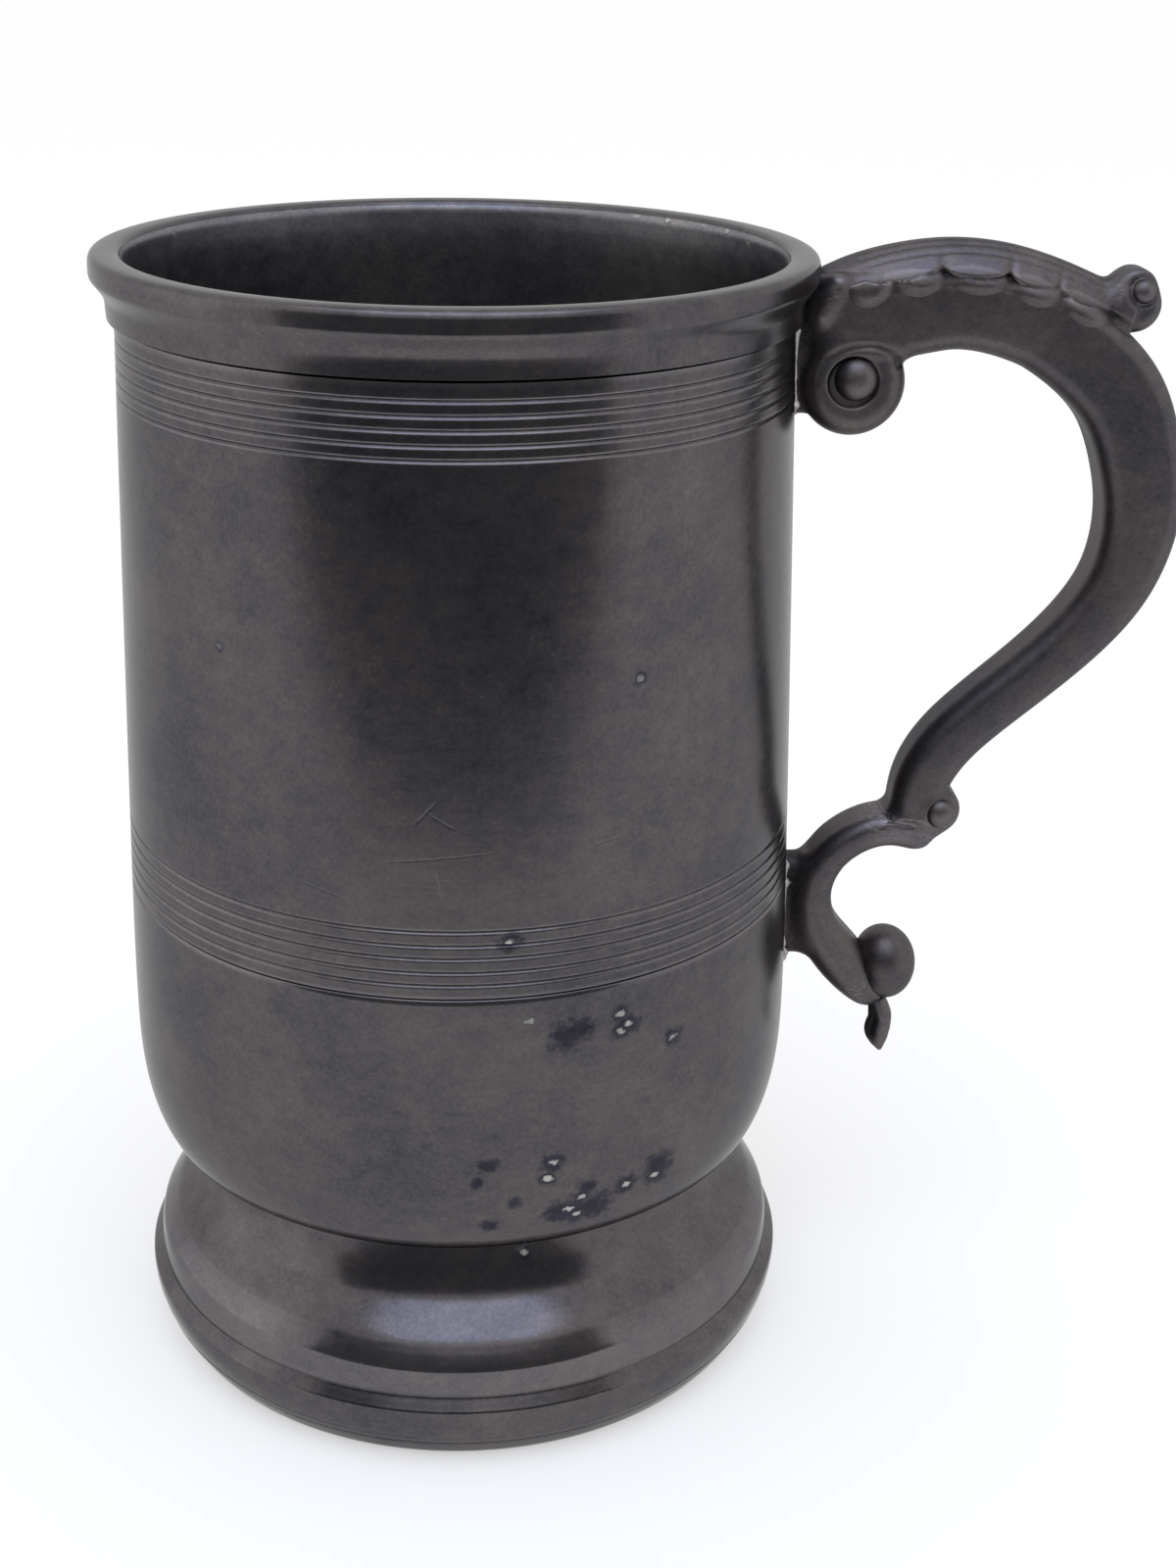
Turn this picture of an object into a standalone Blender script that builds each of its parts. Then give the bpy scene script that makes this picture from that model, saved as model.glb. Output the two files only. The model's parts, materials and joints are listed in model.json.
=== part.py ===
"""A pewter pint mug, built as it comes apart on a bench.

The body is turned: a hollow foot, a bowl with its floor disc, a drum with two bands of turned lines and a
lip ring, each seated in the next and soldered. The handle is a double scroll cast in two lengths, with an
acanthus leaf as the thumb rest, domed bosses on its scroll ends, a bud and a hanging leaf tip. Nothing
moves. Sizes are in millimetres, as on a drawing, and METRE turns them into Blender's unit. They are taken
from the mug's upright axis, with the table at height 0 and the handle along +X. AXIS_BACK then sets that
axis back, so that the origin lies on the table under the middle of the whole mug, handle included.
"""

import math
from dataclasses import dataclass

import bmesh
import bpy
from mathutils import Matrix, Vector

METRE = 0.001
GAP = 0.3
AXIS_BACK = 23.45

# Body, as heights above the table and radii about the axis
LIP_TOP = 145.3
LIP_SEAT = 137.6
LIP_R = 43.3
LIP_BEAD_R = 1.55
MOUTH_R = 38.25
BELLY_Z = 47.2
BELLY_R = 43.5
TAPER = 0.0362
TAPER_EASE = 12.0
TUCK_WIDE = 8.1
TUCK_HIGH = 18.9
TUCK_POWER = 2.5
WALL = 2.4
SPIGOT = 3.0
SPIGOT_WALL = 1.1
SEAM_Z = 66.7

# Turned lines
UPPER_LINE_Z = 135.45
UPPER_LINE_PITCH = 1.565
LOWER_LINE_Z = 75.1
LOWER_LINE_PITCH = 1.68
LINES_PER_BAND = 5
LINE_HALF = 0.28
LINE_DEPTH = 0.3

# Floor and foot
FLOOR_R = 34.0
FLOOR_THICK = 1.8
LEDGE_R = 31.8
LEDGE_THICK = 1.3
NECK_R = 32.6
NECK_BORE = 31.4
FOOT_SHOULDER = (43.2, 11.4)
FOOT_BEAD_R = 44.05
FOOT_BEAD_Z = 8.8
FOOT_BEAD_HALF = 1.9
FOOT_LINE_Z = 3.2
BASE_R = 40.35
BASE_BORE = 37.4
SOLDER_LEG = 1.4

# Handle
SCROLL_HALF_WIDE = 4.8
VOLUTE = (47.6, 129.7)
VOLUTE_R = 6.3
KNOP = (62.6, 72.6)
KNOP_R = 3.15
KNOP_HALF_WIDE = 4.35
LEAF_CURL = (82.2, 140.2)
LEAF_CURL_R = 2.8
LEAF_CURL_HALF_WIDE = 2.6
LEAF_LOBES = 4
LEAF_LOBE_RISE = 0.09
BUD = (57.8, 48.8)
BUD_HALF = (4.2, 4.7, 5.1)
UPPER_PAD_Z = (126.0, 137.0)
LOWER_PAD_Z = (51.4, 64.8)
SOLDER_THICK = 0.7

TURN_STEPS = 40
ROLL_STEPS = 20
SECTION_SIDES = 14
SECTION_POWER = 2.9


@dataclass(frozen=True)
class Station:
    """A place on a scroll's centreline, with the bar's thickness in its plane and its width across it."""

    x: float
    z: float
    thick: float
    wide: float


UPPER_SCROLL = [
    Station(40.6, 137.2, 8.6, 9.2),
    Station(47.5, 138.2, 9.8, 9.4),
    Station(56.0, 138.0, 11.6, 9.6),
    Station(64.5, 138.2, 9.8, 9.6),
    Station(73.2, 135.1, 10.8, 9.6),
    Station(81.3, 128.7, 11.0, 9.6),
    Station(84.9, 119.8, 10.5, 9.6),
    Station(86.0, 111.7, 9.9, 9.5),
    Station(83.7, 102.8, 8.6, 9.2),
    Station(77.7, 95.0, 7.8, 8.8),
    Station(70.5, 88.4, 7.6, 8.4),
    Station(64.2, 82.5, 7.6, 8.2),
    Station(60.8, 76.9, 7.4, 8.2),
    Station(59.9, 71.6, 6.8, 8.2),
]
LOWER_SCROLL = [
    Station(61.7, 68.8, 4.6, 7.6),
    Station(57.2, 69.9, 4.7, 7.8),
    Station(53.2, 68.9, 4.6, 7.8),
    Station(49.4, 66.2, 4.6, 7.8),
    Station(47.3, 62.2, 4.7, 7.8),
    Station(47.1, 58.2, 5.0, 7.8),
    Station(48.3, 53.9, 5.8, 7.8),
    Station(51.1, 49.8, 6.3, 7.6),
    Station(54.2, 46.2, 5.6, 7.0),
    Station(56.6, 43.2, 3.6, 4.6),
]
LEAF = [
    Station(43.0, 140.1, 4.6, 8.4),
    Station(48.5, 142.4, 5.2, 10.2),
    Station(57.5, 144.1, 5.6, 11.4),
    Station(66.0, 143.4, 5.6, 11.2),
    Station(73.5, 141.2, 5.2, 9.8),
    Station(78.5, 139.0, 5.0, 7.6),
    Station(82.7, 137.7, 5.4, 5.8),
]
LEAF_TIP = [
    Station(57.1, 42.2, 2.7, 3.4),
    Station(57.5, 39.6, 4.2, 3.8),
    Station(57.8, 37.3, 3.5, 3.0),
    Station(58.1, 34.7, 0.6, 0.6),
]


def clear_scene():
    """Removes every object that is in the scene."""
    for obj in list(bpy.data.objects):
        bpy.data.objects.remove(obj, do_unlink=True)


def metal(name, colour, roughness):
    """A metallic material of one colour."""
    material = bpy.data.materials.new(name)
    material.use_nodes = True
    shader = material.node_tree.nodes["Principled BSDF"]
    shader.inputs["Base Color"].default_value = (*colour, 1.0)
    shader.inputs["Metallic"].default_value = 1.0
    shader.inputs["Roughness"].default_value = roughness
    return material


def add_object(name, bm, material, parent, seat=(0.0, 0.0, 0.0)):
    """Turns a bmesh in millimetres into a smooth object whose origin is at seat, under its parent."""
    bmesh.ops.remove_doubles(bm, verts=bm.verts, dist=1e-4)
    bmesh.ops.recalc_face_normals(bm, faces=bm.faces)
    bmesh.ops.translate(bm, verts=bm.verts, vec=-Vector(seat))
    bmesh.ops.scale(bm, verts=bm.verts, vec=(METRE, METRE, METRE))
    mesh = bpy.data.meshes.new(name)
    bm.to_mesh(mesh)
    bm.free()
    mesh.shade_smooth()
    mesh.set_sharp_from_angle(angle=math.radians(40))
    mesh.materials.append(material)
    obj = bpy.data.objects.new(name, mesh)
    obj.location = Vector(seat) * METRE
    obj.parent = parent
    bpy.context.collection.objects.link(obj)
    return obj


def boolean(target, other, operation):
    """Joins or cuts target with another object, which stays behind as a wire guide."""
    modifier = target.modifiers.new(f"{operation.lower()} {other.name}", "BOOLEAN")
    modifier.operation = operation
    modifier.object = other
    modifier.solver = "EXACT"
    other.hide_render = True
    other.display_type = "WIRE"


def arc(centre, radius, start, end, count):
    """Points of a circle's arc between two angles in degrees, as (radius, height) pairs."""
    angles = [math.radians(start + (end - start) * i / (count - 1)) for i in range(count)]
    return [(centre[0] + radius * math.cos(a), centre[1] + radius * math.sin(a)) for a in angles]


def bezier(a, b, c, d, count):
    """Points of a cubic curve from a to d, pulled towards b and c."""
    points = []
    for i in range(count):
        t = i / (count - 1)
        weights = ((1 - t) ** 3, 3 * t * (1 - t) ** 2, 3 * t * t * (1 - t), t ** 3)
        points.append(tuple(sum(w * p[k] for w, p in zip(weights, (a, b, c, d))) for k in (0, 1)))
    return points


def body_radius(height):
    """The body's outer radius above the belly: a cone that eases into the belly's widest ring."""
    rise = height - BELLY_Z
    return BELLY_R - TAPER * (math.hypot(rise, TAPER_EASE) - TAPER_EASE)


def tuck(inset, count):
    """The bowl from the belly's widest ring down to its flat bottom, a quarter of a superellipse."""
    points = []
    for i in range(count):
        angle = 0.5 * math.pi * i / (count - 1)
        across = max(math.cos(angle), 0.0) ** (2 / TUCK_POWER)
        down = math.sin(angle) ** (2 / TUCK_POWER)
        radius = BELLY_R - inset - TUCK_WIDE * (1 - across)
        points.append((radius, BELLY_Z - (TUCK_HIGH - inset) * down))
    return points


def turned_line(height):
    """One turned line on the body's outside: a small V."""
    return [
        (body_radius(height + LINE_HALF), height + LINE_HALF),
        (body_radius(height) - LINE_DEPTH, height),
        (body_radius(height - LINE_HALF), height - LINE_HALF),
    ]


def turned(name, profile, material, parent, seat=0.0, turn=360.0):
    """Spins a closed (radius, height) profile about the axis, through a full turn or a part of one."""
    bm = bmesh.new()
    start = Matrix.Rotation(math.radians(-turn / 2), 4, "Z")
    verts = [bm.verts.new(start @ Vector((r, 0.0, z))) for r, z in profile]
    whole = turn == 360.0
    if whole:
        ring = [bm.edges.new(pair) for pair in zip(verts, verts[1:] + verts[:1])]
        steps = TURN_STEPS
    else:
        face = bm.faces.new(verts)
        ring = [face, *face.edges]
        steps = 6
    bmesh.ops.spin(
        bm,
        geom=[*verts, *ring],
        cent=(0, 0, 0),
        axis=(0, 0, 1),
        angle=math.radians(turn),
        steps=steps,
        use_merge=whole,
    )
    return add_object(name, bm, material, parent, (0.0, 0.0, seat))


def rolled(name, profile, centre, material, parent):
    """Spins an open (radius, offset along Y) profile that starts and ends on its own axis, which is along Y."""
    bm = bmesh.new()
    verts = [bm.verts.new((centre[0] + r, y, centre[1])) for r, y in profile]
    edges = [bm.edges.new(pair) for pair in zip(verts, verts[1:])]
    bmesh.ops.spin(
        bm,
        geom=[*verts, *edges],
        cent=(centre[0], 0, centre[1]),
        axis=(0, 1, 0),
        angle=math.tau,
        steps=ROLL_STEPS,
        use_merge=True,
    )
    return add_object(name, bm, material, parent, (centre[0], 0.0, centre[1]))


def drum_roll(radius, half_wide, edge):
    """The profile of a short roll with rounded edges."""
    far = arc((radius - edge, half_wide - edge), edge, 90, 0, 4)
    near = arc((radius - edge, edge - half_wide), edge, 0, -90, 4)
    return [(0.0, half_wide), *far, *near, (0.0, -half_wide)]


def along(stations, rings):
    """Rings of a bar, read from a smooth curve through its stations (a Catmull-Rom spline)."""
    first, last = stations[0], stations[-1]
    held = [first, *stations, last]
    spans = len(stations) - 1
    read = []
    for i in range(rings):
        place = spans * i / (rings - 1)
        span = min(int(place), spans - 1)
        t = place - span
        a, b, c, d = held[span : span + 4]
        weights = (
            0.5 * (-t + 2 * t * t - t ** 3),
            0.5 * (2 - 5 * t * t + 3 * t ** 3),
            0.5 * (t + 4 * t * t - 3 * t ** 3),
            0.5 * (t ** 3 - t * t),
        )
        values = [
            sum(w * getattr(s, field) for w, s in zip(weights, (a, b, c, d)))
            for field in ("x", "z", "thick", "wide")
        ]
        read.append(Station(*values))
    return read


def section(thick, wide):
    """A bar's cross-section: a superellipse, between a rectangle and an ellipse."""
    points = []
    for i in range(SECTION_SIDES):
        angle = math.tau * (i + 0.5) / SECTION_SIDES
        u = math.copysign(abs(math.cos(angle)) ** (2 / SECTION_POWER), math.cos(angle))
        v = math.copysign(abs(math.sin(angle)) ** (2 / SECTION_POWER), math.sin(angle))
        points.append((0.5 * thick * u, 0.5 * wide * v))
    return points


def swept(name, read, material, parent, margin=0.0):
    """Carries the section along the rings of a bar, made larger all round by a margin."""
    bm = bmesh.new()
    loops = []
    for i, ring in enumerate(read):
        ahead = read[min(i + 1, len(read) - 1)]
        behind = read[max(i - 1, 0)]
        run = Vector((ahead.x - behind.x, 0.0, ahead.z - behind.z)).normalized()
        out = Vector((-run.z, 0.0, run.x))
        centre = Vector((ring.x, 0.0, ring.z))
        if margin and i in (0, len(read) - 1):
            centre += run * margin * (1 if i else -1)
        shape = section(ring.thick + 2 * margin, ring.wide + 2 * margin)
        loops.append([bm.verts.new(centre + out * u + Vector((0, v, 0))) for u, v in shape])
    for near, far in zip(loops, loops[1:]):
        for k in range(SECTION_SIDES):
            j = (k + 1) % SECTION_SIDES
            bm.faces.new((near[k], near[j], far[j], far[k]))
    bm.faces.new(loops[0])
    bm.faces.new(list(reversed(loops[-1])))
    return add_object(name, bm, material, parent)


def block(name, x_span, half_wide, z_span, material, parent):
    """A plain block, for the pads behind the scrolls."""
    bm = bmesh.new()
    bmesh.ops.create_cube(bm, size=1.0)
    sizes = (x_span[1] - x_span[0], 2 * half_wide, z_span[1] - z_span[0])
    bmesh.ops.scale(bm, verts=bm.verts, vec=sizes)
    bmesh.ops.bevel(bm, geom=bm.edges, offset=1.0, segments=2, profile=0.5, affect="EDGES")
    bmesh.ops.translate(bm, verts=bm.verts, vec=(sum(x_span) / 2, 0.0, sum(z_span) / 2))
    return add_object(name, bm, material, parent)


def lip_ring(material, parent):
    """The lip: a rounded bead over a cove, flared inside, with a rebate below for the drum's spigot."""
    rebate_r = body_radius(LIP_SEAT) - WALL + SPIGOT_WALL + GAP
    rebate_z = LIP_SEAT + SPIGOT + GAP
    bead = arc((LIP_R - LIP_BEAD_R, LIP_TOP - LIP_BEAD_R), LIP_BEAD_R, 95, -50, 7)
    cove = bezier((42.3, 141.9), (41.6, 141.3), (41.15, 140.6), (41.25, 139.6), 4)
    fillet = [(41.4, 138.9), (41.35, 138.2), (41.0, LIP_SEAT + GAP / 2)]
    inside = [(rebate_r, LIP_SEAT + GAP / 2), (rebate_r, rebate_z), (MOUTH_R, rebate_z)]
    flare = [(38.75, 143.0), (39.3, 144.3), (39.8, 144.95), (40.5, LIP_TOP - 0.05)]
    return turned("lip_ring", [*bead, *cove, *fillet, *inside, *flare], material, parent, LIP_SEAT)


def drum(material, parent):
    """The drum: a slightly tapered wall with two bands of turned lines and a spigot for the lip ring."""
    top = LIP_SEAT - GAP / 2
    bottom = SEAM_Z + GAP / 2
    bore_top = body_radius(LIP_SEAT) - WALL
    bore_bottom = body_radius(SEAM_Z) - WALL
    rebate_r = bore_bottom + SPIGOT_WALL + GAP
    outside = [(body_radius(top), top)]
    for i in range(LINES_PER_BAND):
        outside += turned_line(UPPER_LINE_Z - i * UPPER_LINE_PITCH)
    outside.append((body_radius(102.0), 102.0))
    for i in range(LINES_PER_BAND):
        outside += turned_line(LOWER_LINE_Z - i * LOWER_LINE_PITCH)
    outside.append((body_radius(bottom), bottom))
    inside = [
        (rebate_r, bottom),
        (rebate_r, SEAM_Z + SPIGOT + GAP),
        (body_radius(SEAM_Z + SPIGOT) - WALL, SEAM_Z + SPIGOT + GAP),
        (body_radius(102.0) - WALL, 102.0),
        (bore_top, LIP_SEAT + SPIGOT),
        (bore_top + SPIGOT_WALL, LIP_SEAT + SPIGOT),
        (bore_top + SPIGOT_WALL, top),
    ]
    return turned("drum", [*outside, *inside], material, parent, SEAM_Z)


def bowl(material, parent):
    """The bowl: the belly and its tucked-in bottom, with a ledge for the floor disc and a spigot above."""
    top = SEAM_Z - GAP / 2
    bore = body_radius(SEAM_Z) - WALL
    bottom = BELLY_Z - TUCK_HIGH
    shelf = bottom + LEDGE_THICK
    flank = [(body_radius(z), z) for z in (top, 60.0, 53.0)]
    under = [(LEDGE_R, bottom), (LEDGE_R, shelf), (FLOOR_R + GAP, shelf)]
    inside = [(r, z) for r, z in reversed(tuck(WALL, 7)) if r > FLOOR_R + GAP]
    neck = [(FLOOR_R + GAP, inside[0][1])]
    rise = [(body_radius(z) - WALL, z) for z in (53.0, 60.0)]
    spigot = [
        (bore, SEAM_Z + SPIGOT),
        (bore + SPIGOT_WALL, SEAM_Z + SPIGOT),
        (bore + SPIGOT_WALL, top),
    ]
    profile = [*flank, *tuck(0.0, 10), *under, *neck, *inside, *rise, *spigot]
    return turned("bowl", profile, material, parent, bottom)


def floor_disc(material, parent):
    """The floor of the cup: a disc, slightly dished, that lies on the bowl's ledge."""
    low = BELLY_Z - TUCK_HIGH + LEDGE_THICK + GAP
    high = low + FLOOR_THICK
    bm = bmesh.new()
    profile = [(0.0, high - 0.4), (FLOOR_R * 0.6, high - 0.3), (FLOOR_R, high), (FLOOR_R, low), (0.0, low)]
    verts = [bm.verts.new((r, 0.0, z)) for r, z in profile]
    edges = [bm.edges.new(pair) for pair in zip(verts, verts[1:])]
    bmesh.ops.spin(
        bm,
        geom=[*verts, *edges],
        cent=(0, 0, 0),
        axis=(0, 0, 1),
        angle=math.tau,
        steps=TURN_STEPS,
        use_merge=True,
    )
    return add_object("floor_disc", bm, material, parent, (0.0, 0.0, low))


def foot(material, parent):
    """The foot: a hollow spreading moulding with a cove, a bead and an ovolo down to the base ring."""
    top = BELLY_Z - TUCK_HIGH - GAP
    shoulder_r, shoulder_z = FOOT_SHOULDER
    flank = bezier((NECK_R, top), (34.2, 19.5), (42.9, 16.6), FOOT_SHOULDER, 8)
    quirk = [(shoulder_r - 0.15, shoulder_z - 0.4), (shoulder_r, shoulder_z - 0.75)]
    bead_centre = (FOOT_BEAD_R - FOOT_BEAD_HALF, FOOT_BEAD_Z)
    bead = arc(bead_centre, FOOT_BEAD_HALF, 45, -50, 5)
    ovolo = [(43.15, 6.6), (43.4, 6.1), (42.95, 4.4)]
    line = [(42.6, FOOT_LINE_Z + 0.3), (42.2, FOOT_LINE_Z), (42.25, FOOT_LINE_Z - 0.3)]
    base = [(41.5, 1.2), (BASE_R, 0.0), (BASE_BORE, 0.0)]
    inside = [(38.4, 8.0), (36.6, 17.0), (NECK_BORE + 0.6, 24.0), (NECK_BORE, top)]
    return turned("foot", [*flank, *quirk, *bead, *ovolo, *line, *base, *inside], material, parent)


def solder_rings(material, parent):
    """The fillets of solder that hold the floor disc, from below, and the foot, from inside."""
    under_floor = BELLY_Z - TUCK_HIGH + LEDGE_THICK
    under_bowl = BELLY_Z - TUCK_HIGH - GAP
    for name, corner_r, corner_z in (
        ("floor_solder", LEDGE_R - GAP, under_floor),
        ("foot_solder", NECK_BORE - GAP, under_bowl),
    ):
        leg = SOLDER_LEG if name == "foot_solder" else LEDGE_THICK
        profile = [(corner_r, corner_z), (corner_r, corner_z - leg), (corner_r - leg, corner_z)]
        turned(name, profile, material, parent, corner_z)


def handle_solder(material, parent):
    """The solder between the body and each scroll's pad, bent to the body's curve."""
    for name, z_span, half_wide in (
        ("upper_solder", UPPER_PAD_Z, 4.9),
        ("lower_solder", LOWER_PAD_Z, 4.1),
    ):
        low, high = z_span
        inner = [(body_radius(z) + GAP, z) for z in (high, low)]
        outer = [(r + SOLDER_THICK, z) for r, z in reversed(inner)]
        turn = 2 * math.degrees(half_wide / BELLY_R)
        turned(name, [*outer, *inner], material, parent, low, turn)


def clearance(material, parent):
    """The body grown by the solder's thickness, which trims the backs of the handle's pieces."""
    over = 2 * GAP + SOLDER_THICK
    wall = [(body_radius(z) + over, z) for z in (137.4, 100.0, 66.7, 53.0)]
    lip = [(LIP_R + GAP, 150.0), (LIP_R + GAP, 142.4), (41.75, 140.6)]
    profile = [(5.0, 150.0), *lip, *wall, (BELLY_R + over, 40.0), (5.0, 40.0)]
    return turned("clearance", profile, material, parent)


def boss(name, centre, radius, face_y, front, material, parent):
    """A domed boss that sits in a round recess of a scroll's face, at the front or at the back."""
    sunk = face_y - 0.6
    dome = [(radius * math.cos(a), sunk + radius * 0.95 * math.sin(a)) for a in (0.0, 0.4, 0.8, 1.2)]
    crown = (0.0, sunk + radius * 0.95)
    profile = [crown, *reversed(dome), (radius, sunk - 0.5), (0.0, sunk - 0.5)]
    obj = rolled(name, profile, centre, material, parent)
    if front:
        obj.rotation_euler = (0.0, 0.0, math.pi)
    return obj


def recess(name, centre, radius, face_y, material, parent):
    """The round recess for a pair of bosses: one cutter for each face."""
    floor_y = face_y - 1.1 - GAP
    cutters = []
    for side in (1, -1):
        profile = [(0.0, side * (face_y + 2)), (radius + GAP, side * (face_y + 2))]
        profile += [(radius + GAP, side * floor_y), (0.0, side * floor_y)]
        cutter = rolled(f"{name}_{side}", profile, centre, material, parent)
        cutter.rotation_euler.y = math.pi / ROLL_STEPS
        cutters.append(cutter)
    return cutters


def bossed(scroll, name, centre, radius, face_y, material, parent):
    """Cuts a pair of recesses in a scroll's end and seats a boss in each."""
    for cutter in recess(f"{name}_recess", centre, radius, face_y, material, parent):
        boolean(scroll, cutter, "DIFFERENCE")
    boss(f"{name}_boss_front", centre, radius, face_y, True, material, parent)
    boss(f"{name}_boss_back", centre, radius, face_y, False, material, parent)


def upper_scroll(trim, lower, material, parent):
    """The upper scroll: the bar, its volute and pad at the drum, and the knop where the lower scroll starts."""
    scroll = swept("handle_upper_scroll", along(UPPER_SCROLL, 40), material, parent)
    volute = rolled("volute_roll", drum_roll(VOLUTE_R, SCROLL_HALF_WIDE, 1.0), VOLUTE, material, parent)
    pad = block("upper_pad", (39.0, 44.3), 4.5, UPPER_PAD_Z, material, parent)
    knop = rolled("knop_roll", drum_roll(KNOP_R, KNOP_HALF_WIDE, 0.8), KNOP, material, parent)
    for piece in (volute, pad, knop):
        boolean(scroll, piece, "UNION")
    boolean(scroll, trim, "DIFFERENCE")
    boolean(scroll, lower, "DIFFERENCE")
    bossed(scroll, "volute", VOLUTE, 2.4, SCROLL_HALF_WIDE, material, parent)
    bossed(scroll, "knop", KNOP, 1.7, KNOP_HALF_WIDE, material, parent)
    return scroll


def lower_scroll(trim, material, parent):
    """The lower scroll: a C with its pad at the bowl, running down to the leaf tip."""
    scroll = swept("handle_lower_scroll", along(LOWER_SCROLL, 34), material, parent)
    pad = block("lower_pad", (42.0, 47.4), 3.7, LOWER_PAD_Z, material, parent)
    boolean(scroll, pad, "UNION")
    boolean(scroll, trim, "DIFFERENCE")
    return scroll


def thumb_leaf(trim, material, parent):
    """The acanthus leaf on the crest: a lobed cap over the bar that ends in a small curl."""
    rings = []
    count = 41
    for i, ring in enumerate(along(LEAF, count)):
        lobe = abs(math.sin(LEAF_LOBES * math.pi * i / (count - 1)))
        grown = 1 + LEAF_LOBE_RISE * (lobe - 0.5)
        rings.append(Station(ring.x, ring.z, ring.thick, ring.wide * grown))
    leaf = swept("thumb_leaf", rings, material, parent)
    curl = rolled("curl_roll", drum_roll(LEAF_CURL_R, LEAF_CURL_HALF_WIDE, 0.7), LEAF_CURL, material, parent)
    bar = swept("bar_clearance", along(UPPER_SCROLL[:8], 26), material, parent, GAP)
    boolean(leaf, curl, "UNION")
    boolean(leaf, bar, "DIFFERENCE")
    boolean(leaf, trim, "DIFFERENCE")
    bossed(leaf, "leaf", LEAF_CURL, 1.45, LEAF_CURL_HALF_WIDE, material, parent)
    return leaf


def bud(lower, material, parent):
    """The bud at the lower scroll's end: an egg, trimmed where it lies against the scroll."""
    bm = bmesh.new()
    bmesh.ops.create_uvsphere(bm, u_segments=20, v_segments=12, radius=1.0)
    bmesh.ops.scale(bm, verts=bm.verts, vec=BUD_HALF)
    bmesh.ops.translate(bm, verts=bm.verts, vec=(BUD[0], 0.0, BUD[1]))
    egg = add_object("bud", bm, material, parent, (BUD[0], 0.0, BUD[1]))
    boolean(egg, lower, "DIFFERENCE")
    return egg


def main():
    """Builds the mug under one empty, and its handle under another."""
    clear_scene()
    mug = bpy.data.objects.new("mug", None)
    handle = bpy.data.objects.new("handle", None)
    handle.parent = mug
    mug.location.x = -AXIS_BACK * METRE
    for empty in (mug, handle):
        bpy.context.collection.objects.link(empty)

    body_metal = metal("pewter_body", (0.095, 0.088, 0.095), 0.28)
    handle_metal = metal("pewter_handle", (0.097, 0.089, 0.095), 0.45)
    solder = metal("solder", (0.37, 0.355, 0.355), 0.35)

    for piece in (lip_ring, drum, bowl, floor_disc, foot):
        piece(body_metal, mug)
    solder_rings(solder, mug)
    handle_solder(solder, mug)

    trim = clearance(body_metal, mug)
    lower_clear = swept("lower_clearance", along(LOWER_SCROLL, 34), handle_metal, handle, GAP)
    upper_scroll(trim, lower_clear, handle_metal, handle)
    lower_scroll(trim, handle_metal, handle)
    thumb_leaf(trim, handle_metal, handle)
    bud(lower_clear, handle_metal, handle)
    tip = swept("leaf_tip", along(LEAF_TIP, 12), handle_metal, handle)
    boolean(tip, lower_clear, "DIFFERENCE")


main()
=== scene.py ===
"""The looks of a pewter pint mug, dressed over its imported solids.

Sizes are in millimetres about the cup's upright axis, with X towards the handle, Y across it and Z up from
the table. They become metres, and take the axis's place in the frame, when a mesh is made.
"""

import json
import logging
import math
from dataclasses import dataclass, field, replace
from enum import Enum
from typing import Any, Callable, ClassVar, Dict, List, Mapping, Optional, Sequence, Tuple, Union

import bmesh
import bpy
import numpy as np
from mathutils import Matrix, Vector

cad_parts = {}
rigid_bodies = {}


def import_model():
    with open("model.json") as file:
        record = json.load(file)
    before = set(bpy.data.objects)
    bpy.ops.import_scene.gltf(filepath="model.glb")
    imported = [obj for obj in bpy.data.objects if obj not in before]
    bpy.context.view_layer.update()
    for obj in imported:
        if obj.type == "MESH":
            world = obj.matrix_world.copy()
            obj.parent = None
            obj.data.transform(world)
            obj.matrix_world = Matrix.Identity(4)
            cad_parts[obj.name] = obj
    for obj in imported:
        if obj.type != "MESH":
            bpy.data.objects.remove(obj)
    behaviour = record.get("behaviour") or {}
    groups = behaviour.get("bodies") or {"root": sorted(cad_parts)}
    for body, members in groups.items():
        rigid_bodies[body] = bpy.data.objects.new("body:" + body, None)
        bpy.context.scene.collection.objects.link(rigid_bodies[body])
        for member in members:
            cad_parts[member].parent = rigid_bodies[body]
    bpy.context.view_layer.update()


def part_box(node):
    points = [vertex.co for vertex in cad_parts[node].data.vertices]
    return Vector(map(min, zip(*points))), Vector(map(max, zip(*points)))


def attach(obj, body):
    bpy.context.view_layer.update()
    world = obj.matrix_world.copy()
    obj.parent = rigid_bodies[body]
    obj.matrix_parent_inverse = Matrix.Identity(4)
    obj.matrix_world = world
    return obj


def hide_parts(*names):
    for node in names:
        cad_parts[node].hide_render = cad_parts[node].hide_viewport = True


for left_over in list(bpy.data.objects):
    bpy.data.objects.remove(left_over, do_unlink=True)
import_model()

log = logging.getLogger("pewter_mug")

METRE = 0.001
FOOT_LOW, FOOT_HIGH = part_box("foot")
AXIS_X = 0.5 * (FOOT_LOW[0] + FOOT_HIGH[0])
SHARP_EDGE = math.radians(50.0)
WELD = 1e-7
SIDES = ((-1, "front"), (1, "back"))

Array = np.ndarray
Point = Tuple[float, float]
Triple = Tuple[float, float, float]
Station = Tuple[float, float, float, float]
Field = Callable[[Array, Array, Array], Array]


class Slot(Enum):
    """The record's material slots."""

    BODY = "body_pewter"
    HANDLE = "handle_pewter"
    SOLDER = "solder"


# Curves and grids

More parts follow.
